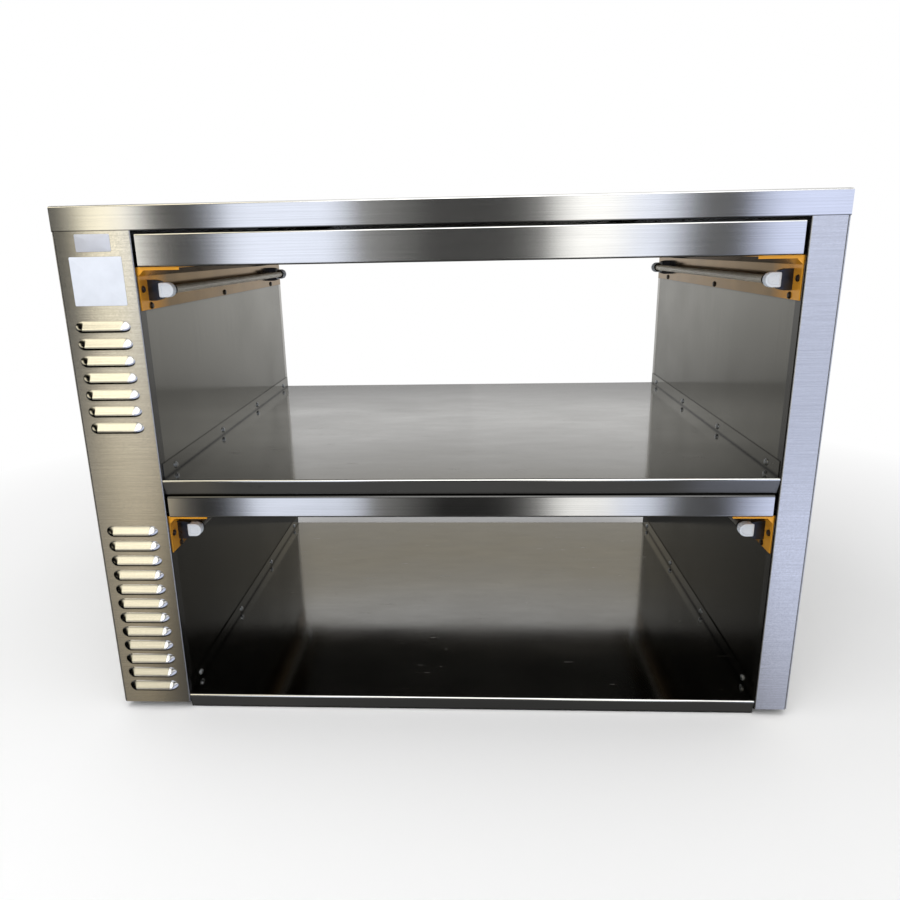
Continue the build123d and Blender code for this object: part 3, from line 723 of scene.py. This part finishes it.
class CABINET_OT_heating_tubes(bpy.types.Operator):
    """Make the four heating tubes with their caps, seals and coils"""

    bl_idname = "cabinet.heating_tubes"
    bl_label = "Heating tubes"

    def execute(self, context):
        sizes, colours = context.scene.cabinet.lamps, context.scene.cabinet.colours
        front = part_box("upper_left_quartz_tube")[0].y
        # Painted shade: the lower tier's tubes are a darker copy of the quartz
        browned_and_shaded = shade(colours.quartz, 0.2)
        quartz = {
            "upper": material_named("Quartz, milky", milky_quartz, colour=colours.quartz, front=front),
            "lower": material_named("Quartz, browned", milky_quartz, colour=browned_and_shaded, front=front),
        }
        ceramic = material_named("Steatite, unglazed", steatite, colour=colours.ceramic)
        rubber = material_named(
            "Silicone rubber, black", moulded_plastic, colour=colours.rubber, roughness=0.5, texture=1.0)
        wire = material_named(
            "Resistance wire, oxidised", dull_metal, colour=colours.wire, roughness=0.45, lump=4)
        round_tube = np.ones(40)
        for tier in TIERS:
            for side, inward in INWARD.items():
                lamp = f"{tier}_{side}"
                tube_low, tube_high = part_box(f"{lamp}_quartz_tube")
                cap_low, cap_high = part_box(f"{lamp}_lamp_caps")
                axis = np.array([(tube_low.x + tube_high.x) / 2, 0, (tube_low.z + tube_high.z) / 2])
                ends = [(axis + (0, cap_low.y, 0), 1), (axis + (0, cap_high.y, 0), -1)]
                radius = (tube_high.z - tube_low.z) / 2
                half_height = (cap_high.z - cap_low.z) / 2
                seat = cap_high.x - cap_low.x - half_height
                tube = turned_rings(
                    axis, Y, 1, [(y, radius) for y in (tube_low.y, 0, tube_high.y)], round_tube)
                coil = self.coil(sizes, axis, *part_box(f"{lamp}_heating_coil"))
                caps = [self.cap(sizes, end, way, half_height, seat, inward) for end, way in ends]
                seals = [self.seal(sizes, end, way, radius) for end, way in ends]
                make_piece(f"{lamp}_tube", [closed_surface(tube)], quartz[tier],
                           [f"{lamp}_quartz_tube"])
                make_piece(f"{lamp}_coil", [closed_surface(coil)], wire,
                           [f"{lamp}_heating_coil"])
                make_piece(f"{lamp}_caps", [closed_surface(cap) for cap in caps], ceramic,
                           [f"{lamp}_lamp_caps"])
                make_piece(f"{lamp}_seals", [closed_surface(seal, wrap=True) for seal in seals], rubber)
        return {"FINISHED"}

    @staticmethod
    def cap(sizes, end, way, half_height, seat, inward):
        """Rings of a cap from its outer face to its nose.

        Towards the bay the outline is a half circle. Towards the wall it is a rectangle with eased corners:
        the radius is (|cos / seat|^p + |sin / half height|^p)^(-1/p) at each angle. The outer face has a
        shallow pocket and a rounded edge, two grooves run round the sides, and the nose is a round taper.
        Each step is a distance along the cap and a share of the outline or of the nose's radius.
        """
        angle, power = full_turn(72), 14
        cosine, sine = np.cos(angle) * inward, np.sin(angle)
        boxed = (np.abs(cosine / seat) ** power + np.abs(sine / half_height) ** power) ** (-1 / power)
        outline, circle = np.where(cosine >= 0, half_height, boxed), np.ones(len(angle))
        body = sizes.cap_length - sizes.nose_length
        groove = 1 - sizes.groove_depth / half_height
        pocket = [(0.7 * MM, 0.5), (0.7 * MM, 0.6), (0.0, 0.66)]
        edge = [(0.0, 0.9), (0.25 * MM, 0.965), (0.8 * MM, 1.0)]
        grooves = [
            (share * body + offset * MM, scale)
            for share in (0.36, 0.68)
            for offset, scale in ((-0.6, 1.0), (-0.3, groove), (0.3, groove), (0.6, 1.0))
        ]
        shoulder = [(body - 0.6 * MM, 1.0), (body, 0.95)]
        nose = [(body, 1.2), (body + 0.5 * MM, 1.16), (sizes.cap_length - 0.5 * MM, 1.0),
                (sizes.cap_length, 0.92)]
        sides = turned_rings(end, Y, way, pocket + edge + grooves + shoulder, outline)
        taper = turned_rings(end, Y, way, [(y, scale * sizes.nose_radius) for y, scale in nose], circle)
        return np.concatenate([sides, taper])

    @staticmethod
    def seal(sizes, end, way, tube_radius):
        """Ring of circular section round the tube, pressed on to it and on to the nose.

        The section's middle lies 0.4 of its radius out of the tube and 0.6 of it beyond the nose.
        """
        turn, section = full_turn(40)[:, None], full_turn(12)[None, :]
        out = tube_radius + sizes.seal_radius * (0.4 + np.cos(section))
        along = way * (sizes.cap_length + sizes.seal_radius * (0.6 + np.sin(section)))
        return end + np.stack([out * np.cos(turn), along + 0 * turn, out * np.sin(turn)], axis=-1)

    @staticmethod
    def coil(sizes, axis, low, high):
        """Wire of circular section carried along a helix that advances one pitch each turn."""
        steps_each_turn = 14
        radius = (high.z - low.z) / 2 - sizes.wire_radius
        turns = (high.y - low.y - 2 * sizes.wire_radius) / sizes.coil_pitch
        angle = np.linspace(0, 2 * np.pi * turns, int(turns * steps_each_turn))[:, None]
        section = full_turn(6)[None, :]
        out = radius + sizes.wire_radius * np.cos(section)
        along = low.y + sizes.wire_radius * (1 + np.sin(section)) + sizes.coil_pitch * angle / (2 * np.pi)
        return axis + np.stack([out * np.cos(angle), along, out * np.sin(angle)], axis=-1)


class CABINET_OT_fasteners(bpy.types.Operator):
    """Make the screws of the shelves and the reflectors"""

    bl_idname = "cabinet.fasteners"
    bl_label = "Screws"

    def execute(self, context):
        sizes, colours = context.scene.cabinet.fasteners, context.scene.cabinet.colours
        zinc = material_named(
            "Steel, bright zinc", dull_metal, colour=colours.zinc, roughness=0.28, lump=3)
        browned_and_shaded = material_named(
            "Steel, zinc browned by heat", dull_metal, colour=colours.browned_zinc, roughness=0.4, lump=3)
        shelf_screws, reflector_screws = [], []
        shelf_y = sizes.shelf_spacing * (np.arange(sizes.shelf_count) - (sizes.shelf_count - 1) / 2)
        for tier in TIERS:
            shelf_z, ceiling_z = tier_levels(tier)
            for side, inward in INWARD.items():
                head = closed_surface(self.head(sizes, inward))
                face = wall_face(side) + inward * sizes.shelf_sheet
                shelf_screws += copies(head, [(face, y, shelf_z + sizes.shelf_height) for y in shelf_y])
                low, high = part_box(f"{tier}_{side}_reflector")
                cap_low, cap_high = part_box(f"{tier}_{side}_lamp_caps")
                face = wall_face(side) + inward * sizes.reflector_sheet
                near, far = cap_low.y + sizes.cap_inset, cap_high.y - sizes.cap_inset
                row = [(face, y, ceiling_z - sizes.low_drop) for y in (near, (near + far) / 2, far)]
                row += [(face, y, ceiling_z - sizes.end_drop)
                        for y in (low.y + sizes.end_inset, high.y - sizes.end_inset)]
                reflector_screws += copies(head, row)
        make_piece(
            "shelf_flange_screws", shelf_screws, zinc, ["shelf_screws"])
        make_piece(
            "reflector_hex_screws", reflector_screws, browned_and_shaded, ["reflector_screws"])
        return {"FINISHED"}

    @staticmethod
    def head(sizes, inward):
        """Rings of a hexagon head on a washer flange, seen along X.

        The flange is turned. Above it, the outline eases from a circle to a hexagon, and the top is
        rounded over towards its middle. The hexagon's radius is 1 / cos of the angle from the nearest flat,
        eased at the corners. Each step is a share of the head's height, a radius and an outline.
        """
        segments, softness = 48, 0.03
        from_flat = (full_turn(segments) + np.pi / 6) % (np.pi / 3) - np.pi / 6
        hexagon = np.minimum(1 / np.cos(from_flat), 1 / np.cos(np.pi / 6) - softness)
        half, flange, circle = sizes.hexagon / 2, sizes.flange, np.ones(segments)
        steps = [
            (0.0, flange, circle), (0.25, flange, circle), (0.38, 0.9 * flange, circle),
            (0.42, half, hexagon), (0.85, half, hexagon), (0.95, 0.93 * half, hexagon),
            (1.0, 0.8 * half, circle), (1.0, 0.4 * half, circle),
        ]
        return np.concatenate([
            turned_rings((0, 0, 0), X, inward, [(rise * sizes.head, radius)], outline)
            for rise, radius, outline in steps
        ])


class CABINET_OT_plates(bpy.types.Operator):
    """Make the two bare plates on the left column"""

    bl_idname = "cabinet.plates"
    bl_label = "Bare plates"

    def execute(self, context):
        sizes, colours = context.scene.cabinet.plates, context.scene.cabinet.colours
        vinyl = material_named(
            "Vinyl, white", adhesive_film, colour=colours.vinyl, metallic=0.0, roughness=0.4)
        foil = material_named(
            "Foil, silver", adhesive_film, colour=colours.foil, metallic=0.6, roughness=0.42)
        white = closed_surface(self.rounded(sizes, sizes.white_low, sizes.white_high))
        silver = closed_surface(self.rounded(sizes, sizes.silver_low, sizes.silver_high))
        make_piece("blank_white_plate", [white], vinyl)
        make_piece("blank_silver_plate", [silver], foil)
        return {"FINISHED"}

    @staticmethod
    def rounded(sizes, low, high):
        """Rings of a thin plate: a rectangle with quarter-circle corners, drawn in at its outer edge.

        Each step is a share of the plate's thickness and how far the outline is drawn in.
        """
        quarter = np.linspace(0, np.pi / 2, 7)
        angle = np.concatenate([quarter + i * np.pi / 2 for i in range(4)])
        left, right = low[0] + sizes.corner, high[0] - sizes.corner
        bottom, top = low[1] + sizes.corner, high[1] - sizes.corner
        middle_x = np.repeat([right, left, left, right], len(quarter))
        middle_z = np.repeat([top, top, bottom, bottom], len(quarter))
        depth, inset = np.array([(0.0, 0.0), (0.6, 0.0), (0.9, 0.1 * MM), (1.0, 0.25 * MM)]).T[..., None]
        radius = sizes.corner - inset
        y = column_front() - depth * sizes.thickness + 0 * angle
        return np.stack([middle_x + radius * np.cos(angle), y, middle_z + radius * np.sin(angle)], axis=-1)


class CABINET_OT_finishes(bpy.types.Operator):
    """Give every carried-over solid its finish"""

    bl_idname = "cabinet.finishes"
    bl_label = "Finishes"

    def execute(self, context):
        colours = context.scene.cabinet.colours
        columns = column_stainless(colours)
        upper_floor = tier_levels("upper")[0]
        cover_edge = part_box("top_cover")[0].z
        header_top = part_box("lower_front_header")[1].z
        edge_shade = 0.15
        header = {
            "colour": colours.stainless, "grain": X, "across": (0, -1, 1), "roughness": 0.12,
            "anisotropy": 0.9, "depth": 0.008 * MM,
        }
        across = material_named("Stainless, brushed across", brushed_stainless, **header)
        cover = material_named(
            "Stainless, brushed across, cover", brushed_stainless, **header,
            # Painted shade along the cover's lower edge, over the gap above the columns
            darkened=(cover_edge + 1.5 * MM, cover_edge + 0.5 * MM, edge_shade),
        )
        under_shelf = material_named(
            "Stainless, brushed across, under a shelf", brushed_stainless, **header,
            # Painted shade along the lower headers' top edges, under the shelves' aprons
            darkened=(header_top - 3.2 * MM, header_top - 1.6 * MM, edge_shade),
        )
        sides = material_named(
            "Stainless, brushed level", brushed_stainless, colour=colours.ground, grain=[X, Y],
            across=(0, 0, 1), roughness=0.3, anisotropy=0.8, depth=0.006 * MM,
        )
        upright = material_named(
            "Stainless, brushed upright", brushed_stainless, colour=colours.wall, grain=Z, across=(0, 1, 0),
            roughness=0.15, anisotropy=1.0, depth=0.006 * MM,
            # Painted shade: the walls darker below the upper shelf, in the lower tier
            darkened=(upper_floor, upper_floor - 20 * MM, 0.5),
        )
        # The lower shelf is a darker copy of the upper one: a painted shade of the lower bay
        shelves = {
            f"{tier}_shelf": material_named(
                f"Stainless, {tier} shelf", shelf_stainless, colour=shade(colours.shelf, strength),
                flange=shade(colours.wall, 0.9 * strength), burnished=colours.burnished,
                level=tier_levels(tier)[0], low=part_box(f"{tier}_shelf")[0],
            )
            for tier, strength in (("upper", 1.0), ("lower", 0.85))
        }
        zinc_sheet = material_named("Steel, galvanised", galvanised_steel, colour=colours.galvanised)
        gilt = material_named(
            "Aluminium, gold anodised", gilt_reflector, colour=colours.gilt, bleached=colours.bleached_gilt,
            front=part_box("upper_left_reflector")[0].y, tinted=upper_floor,
        )
        spring = material_named(
            "Spring steel, blued", dull_metal, colour=colours.spring, roughness=0.34, lump=9)
        brass = material_named("Brass", dull_metal, colour=colours.brass, roughness=0.3, lump=3)
        plastic = material_named(
            "Polycarbonate, black", moulded_plastic, colour=colours.black_plastic, roughness=0.38,
            texture=0.5)
        nylon = material_named(
            "Nylon, black", moulded_plastic, colour=colours.black_nylon, roughness=0.5, texture=0.8)
        phenolic = material_named(
            "Phenolic", moulded_plastic, colour=colours.phenolic, roughness=0.45, texture=0.8)
        # The first ending that fits a node's name gives its finish
        finishes = {
            "lower_front_header": under_shelf, "lower_rear_header": under_shelf,
            "top_cover": cover, "front_header": across, "rear_header": across, "front_panel": columns,
            "rear_panel": sides, "inner_wall": upright, "side_panel": sides, "ceiling": upright,
            "stiffeners": zinc_sheet, "base_tray": zinc_sheet, "wireway": zinc_sheet,
            "component_plate": zinc_sheet, "wire_trunk": zinc_sheet, "reflector": gilt,
            "lamp_clips": spring, "switch_housing": plastic, "switch_rocker": plastic,
            "switch_terminals": brass, "cord_gland": nylon, "terminal_block": phenolic,
            **shelves,
        }
        for name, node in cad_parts.items():
            if node.hide_render:
                continue
            matches = [material for ending, material in finishes.items() if name.endswith(ending)]
            if not matches:
                raise RuntimeError(f"no finish for {name}")
            node.data.materials.clear()
            node.data.materials.append(matches[0])
        return {"FINISHED"}


class CABINET_OT_stage(bpy.types.Operator):
    """Set up the floor, the studio light and the camera"""

    bl_idname = "cabinet.stage"
    bl_label = "Stage"

    def execute(self, context):
        scene = context.scene
        scene.view_settings.view_transform = "Standard"
        self.camera(scene)
        self.floor(scene)
        self.screens(scene)
        self.sky(scene)
        self.lamp(
            scene, "Overhead softbox", place=(-0.3, -0.9, 2.6), target=(0, 0, 0.3), size=2.6, power=34)
        self.lamp(
            scene, "Front softbox", place=(-0.9, -2.8, 1.5), target=(0, 0, 0.35), size=2.2, power=30)
        return {"FINISHED"}

    @staticmethod
    def put(scene, name, data, axes, place):
        """Add an object whose own axes X, Y and Z are given, at a place."""
        matrix = np.eye(4)
        matrix[:3, :3] = np.stack(axes, axis=1)
        matrix[:3, 3] = place
        thing = bpy.data.objects.new(name, data)
        thing.matrix_world = Matrix(matrix.tolist())
        scene.collection.objects.link(thing)
        return thing

    @staticmethod
    def backdrop(scene, name, points, material, wrap_columns=False):
        """Stage surface through a grid of points."""
        mesh = bpy.data.meshes.new(name)
        quads = grid_quads(*points.shape[:2], wrap_columns=wrap_columns)
        mesh.from_pydata(points.reshape(-1, 3).tolist(), [], quads.tolist())
        mesh.materials.append(material)
        thing = bpy.data.objects.new(name, mesh)
        scene.collection.objects.link(thing)
        return thing

    def camera(self, scene):
        """Camera fitted to the photograph's straight edges: turned by yaw, then pitch down, then roll.

        The photograph is a cut-out, so its optical centre lies off its middle.
        """
        focal, centre, place = 716.51, np.array([436.23, 450.68]), (0.0359, -1.1856, 0.6183)
        yaw, pitch, roll = np.radians([3.030, 15.784, -1.130])
        cy, sy, cp, sp, cr, sr = (f(a) for a in (yaw, pitch, roll) for f in (np.cos, np.sin))
        turn_yaw = np.array([[cy, 0, sy], [0, 1, 0], [-sy, 0, cy]])
        turn_pitch = np.array([[1, 0, 0], [0, cp, -sp], [0, sp, cp]])
        turn_roll = np.array([[cr, -sr, 0], [sr, cr, 0], [0, 0, 1]])
        right, down, ahead = (turn_roll @ turn_pitch @ turn_yaw)[:, [0, 2, 1]] * (1, 1, -1)
        data = bpy.data.cameras.new("Camera")
        data.sensor_width = 36.0
        data.lens = focal / IMAGE_SIZE * data.sensor_width
        data.shift_x, data.shift_y = (0.5 - centre / IMAGE_SIZE) * (1, -1)
        scene.camera = self.put(scene, "Camera", data, (right, -down, -ahead), place)

    def floor(self, scene):
        """Round floor that keeps the shadow near the cabinet and runs out to plain white."""
        paper_edge, white_edge = 0.75, 1.6
        radius = np.array([0.0, 0.5, 1.0, 2.0, 4.0, 10.0, 40.0])[:, None]
        angle = full_turn(64)[None, :]
        points = np.stack([radius * np.cos(angle), radius * np.sin(angle), 0 * radius * angle], axis=-1)
        material, tree = new_material("Floor, pale paper")
        paper = add_node(tree, "ShaderNodeBsdfDiffuse", {"Color": scene.cabinet.colours.floor})
        white = add_node(tree, "ShaderNodeEmission", {"Color": (1, 1, 1), "Strength": 1.0})
        place = add_node(tree, "ShaderNodeTexCoord").outputs["Object"]
        reach = add_node(tree, "ShaderNodeVectorMath", {0: place}, operation="LENGTH").outputs["Value"]
        far = graded(tree, reach, 0.0, 1.0, paper_edge, white_edge)
        mix = add_node(tree, "ShaderNodeMixShader", {0: far, 1: paper.outputs[0], 2: white.outputs[0]})
        add_node(tree, "ShaderNodeOutputMaterial", {"Surface": mix.outputs[0]})
        floor = self.backdrop(scene, "studio_floor", points, material, wrap_columns=True)
        floor.visible_glossy = False

    def screens(self, scene):
        """Screens round the cabinet, seen only in its reflections.

        They stand on a sphere. Their light is a function of the angle round Z, from straight ahead of the
        cabinet, and of the height over the horizon.
        """
        radius, brightness, columns, rows = 30.0, 1.3, 121, 61
        around = np.radians(np.linspace(-180, 180, columns))[:, None]
        height = np.radians(np.linspace(-89.5, 89.5, rows))[None, :]
        points = radius * np.stack([
            np.sin(around) * np.cos(height), -np.cos(around) * np.cos(height), np.sin(height) + 0 * around
        ], axis=-1)
        material, tree = new_material("Screens")
        place = position(tree)

        def worked_out(kind, operation, *inputs):
            """What a node works out from its inputs."""
            return add_node(tree, kind, dict(enumerate(inputs)), operation=operation).outputs[0]

        ahead = worked_out("ShaderNodeMath", "MULTIPLY", place["Y"], -1.0)
        turn = worked_out("ShaderNodeMath", "ARCTAN2", place["X"], ahead)
        turn = graded(tree, turn, 0.0, 1.0, -np.pi, np.pi)
        sine = worked_out("ShaderNodeMath", "DIVIDE", place["Z"], radius)
        rise = worked_out("ShaderNodeMath", "ARCSINE", sine)
        rise = graded(tree, rise, 0.0, 1.0, -np.pi / 2, np.pi / 2)

        def light_by(share, furthest, stops):
            """Light along an angle: shares 0 to 1 stand for minus to plus the furthest, in degrees."""
            made = add_node(tree, "ShaderNodeValToRGB", {"Fac": share})
            ramp = made.color_ramp.elements
            places = [(degrees + furthest) / (2 * furthest) for degrees, _ in stops]
            ramp[1].position, ramp[0].position = places[-1], places[0]
            for place in places[1:-1]:
                ramp.new(place)
            for element, (_, tone) in zip(ramp, stops):
                element.color = (*(linear(tone) if isinstance(tone, str) else (tone,) * 3), 1.0)
            return made.outputs["Color"]

        light = None
        for turns, heights in self.lights():
            lit = worked_out(
                "ShaderNodeVectorMath", "MULTIPLY", light_by(turn, 180, turns), light_by(rise, 90, heights))
            light = lit if light is None else worked_out("ShaderNodeVectorMath", "ADD", light, lit)
        glow = add_node(tree, "ShaderNodeEmission", {"Color": light, "Strength": brightness})
        add_node(tree, "ShaderNodeOutputMaterial", {"Surface": glow.outputs[0]})
        screens = self.backdrop(scene, "studio_screens", points, material)
        screens.visible_camera = screens.visible_diffuse = screens.visible_shadow = False
        screens.visible_transmission = False

    @staticmethod
    def lights():
        """Screens and windows: each by its angle round Z and by its height, in degrees, with its light."""

        def both_sides(*stops):
            """Stops to the right, and the same mirrored to the left."""
            return (*((-degrees, light) for degrees, light in reversed(stops)), *stops)

        olive, dull, sand, stone = "#DCCBAA", "#A89B82", "#DCD0B8", "#DCD6C6"
        warm, amber, cool, pale = "#FFF6DC", "#A09A8C", "#E2E9FC", "#CBD5F6"
        return (
            # Upright screens in front, with dark gaps between them
            (((-20.2, 0), (-18.1, cool), (-10.2, cool), (-9.2, 0.2), (-3, 0), (2.5, 0), (5.4, 0.09),
              (7.8, 1), (11, 1), (13, cool), (15.1, cool), (16.2, 0.04), (20.2, 0.03)),
             ((-36, 0), (-29, 0.12), (-24, 0.6), (-20, 0.92), (-10, 0.9), (0, 1), (13, 1), (20, 0.12),
              (90, 0.1))),
            # A wide pale screen on the right, warmer towards the floor
            (((21.6, 0), (23.2, pale), (40, pale), (84, 0.15), (90, 0)),
             ((-42, 0), (-36, 0.3), (-31.5, "#D2CDC6"), (-28, "#E2DDD4"), (-25, 0.92), (-21, 1.4),
              (-17, 0.9), (-14, 0.72), (-12, 0.72), (-7, 0))),
            (((20.3, 0), (21.7, pale), (40, pale), (84, 0.15), (90, 0)),
             ((-12, 0), (-7, 0.72), (-5, 0.74), (0, 0.88), (3, 1), (13, 1), (20, 0.12), (90, 0.1))),
            # Dim room between the screens, and the floor in front
            (((-48, 0), (-40, 1), (80, 1), (88, 0)),
             ((-72, 0.004), (-58, 0.07), (-44, 0.1), (-38, 0.09), (-34, 0.012), (-18, 0.012), (-4, 0.05),
              (20, 0.05), (40, 0))),
            # A tall window on the left: dull in its lower parts, narrow and bright above, wide at the top
            (((-60, 0), (-40, 0.1), (-31, 0.2), (-29.7, dull), (-28.5, olive), (-27.6, olive),
              (-26.6, dull), (-25.8, 0.1), (-24.8, 0)),
             ((-40, 0.02), (-34, 0.25), (-28, 0.62), (-24, 0.65), (-22, 0.68), (-18, 0))),
            (((-60, 0), (-40, 0.1), (-31, 0.25), (-29.9, dull), (-28.4, sand), (-25.6, sand),
              (-24.8, dull), (-24, 0.1), (-23, 0)),
             ((-22, 0), (-18, 0.62), (-15, 0.76), (-11, 0.86), (-7, 0))),
            (((-60, 0), (-40, 0.06), (-29, 0.04), (-28.2, stone), (-26.4, stone), (-25.2, 0.5),
              (-24.4, 0.26), (-23.6, 0.12), (-22.8, 0)),
             ((-11, 0), (-7, 0.92), (-4, 0.96), (-1, 0.65), (3, 0))),
            (((-29.4, 0), (-27.8, warm), (-26.4, warm), (-25.4, 0.9), (-24.6, 0.25), (-23.8, 0)),
             ((-3.5, 0), (-0.5, 1.1), (12, 1.2), (14, 0))),
            (((-56, 0), (-46, warm), (-25.5, warm), (-22, 0)),
             ((14, 0), (28, 0.8), (40, 1.35), (60, 1.45), (68, 0))),
            # Strip lights overhead in front
            (((-22, 0), (-14, 1), (30, 1), (36, 0.1), (52, 0.1), (58, 1), (70, 1), (84, 0)),
             ((20, 0), (26, 1.8), (62, 1.8), (70, 0))),
            # A window far to the left
            (((-92, 0), (-86, warm), (-76, warm), (-70, 0)), ((6, 0), (10, 0.8), (18, 0.8), (22, 0))),
            # A grey wall behind the bays, and a dimmer one to the sides
            (both_sides((162.5, 0), (165, 1)),
             ((-33, 0.008), (-26, 0.015), (-20, 0.05), (-9, 0.37), (-3, 0.58), (2, 0.62), (5, 0.5),
              (8.5, 0.2), (11.4, 0.22), (12.6, 0.74), (14, 0.7), (16, 0.55), (18, 0.4), (22, amber),
              (26, amber), (27.4, 0.5), (30, 0.45), (45, 0.2), (52, 0))),
            (both_sides((84, 0), (92, 0.15), (120, 0.25), (150, 0.35), (157, 0.52), (162.5, 0.75),
                        (165, 0)),
             ((-33, 0.008), (-26, 0.015), (-20, 0.05), (-9, 0.35), (-3, 0.58), (2, 0.62), (5, 0.5),
              (8.5, 0.3), (11.2, 0.32), (12.4, 0.7), (15, 0.66), (16.6, 0.35), (22, 0.22), (40, 0.2),
              (52, 0))),
            # A pale room to the sides
            (both_sides((96, 0), (104, 1), (116, 0.8), (134, 1), (142, 0)),
             ((-90, 0.35), (-40, 0.5), (-10, 0.6), (0, 0.55), (30, 0.4), (50, 0.4), (60, 0))),
            # A pale ceiling to the rear
            (both_sides((95, 0), (110, 1)), ((40, 0), (50, 0.6), (60, 0.7), (70, 0))),
            # Ceiling lights
            (both_sides((180, 1)), ((62, 0), (70, 0.8), (90, 0.8))),
        )

    @staticmethod
    def sky(scene):
        """White world behind the cabinet, at a plain level for diffuse light."""
        fill_level = 0.55
        world = bpy.data.worlds.new("Studio")
        scene.world = world
        world.use_nodes = True
        tree = world.node_tree
        tree.nodes.clear()
        path = add_node(tree, "ShaderNodeLightPath").outputs
        seen = path["Is Camera Ray"]
        for kind in ("Is Glossy Ray", "Is Transmission Ray"):
            either = add_node(tree, "ShaderNodeMath", {0: seen, 1: path[kind]}, operation="MAXIMUM")
            seen = either.outputs[0]
        fill = add_node(tree, "ShaderNodeBackground", {"Color": (1, 1, 1), "Strength": fill_level})
        white = add_node(tree, "ShaderNodeBackground", {"Color": (1, 1, 1), "Strength": 1.0})
        mix = add_node(tree, "ShaderNodeMixShader", {0: seen, 1: fill.outputs[0], 2: white.outputs[0]})
        add_node(tree, "ShaderNodeOutputWorld", {"Surface": mix.outputs[0]})

    def lamp(self, scene, name, place, target, size, power):
        """Square area lamp aimed at a point."""
        data = bpy.data.lights.new(name, "AREA")
        data.energy = power
        data.size = size
        back = np.subtract(place, target)
        back /= np.linalg.norm(back)
        right = np.cross((0, 0, 1), back)
        right /= np.linalg.norm(right)
        lamp = self.put(scene, name, data, (right, np.cross(back, right), back), place)
        lamp.visible_camera = lamp.visible_glossy = False


class CABINET_PT_sidebar(bpy.types.Panel):
    """Lists the steps that dress the cabinet."""

    bl_idname = "CABINET_PT_sidebar"
    bl_label = "Holding cabinet"
    bl_space_type = "VIEW_3D"
    bl_region_type = "UI"
    bl_category = "Cabinet"

    def draw(self, context):
        for operator in operators:
            self.layout.operator(operator.bl_idname)


settings = (LouvreSettings, LampSettings, FastenerSettings, PlateSettings, ColourSettings, CabinetSettings)
operators = (
    CABINET_OT_louvred_panel,
    CABINET_OT_heating_tubes,
    CABINET_OT_fasteners,
    CABINET_OT_plates,
    CABINET_OT_finishes,
    CABINET_OT_stage,
)


def register():
    for cls in (*settings, *operators, CABINET_PT_sidebar):
        bpy.utils.register_class(cls)
    bpy.types.Scene.cabinet = PointerProperty(type=CabinetSettings)


def unregister():
    del bpy.types.Scene.cabinet
    for cls in reversed((*settings, *operators, CABINET_PT_sidebar)):
        bpy.utils.unregister_class(cls)


def main():
    """Register the add-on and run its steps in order."""
    register()
    for operator in operators:
        family, step = operator.bl_idname.split(".")
        getattr(getattr(bpy.ops, family), step)()


if __name__ == "__main__":
    main()
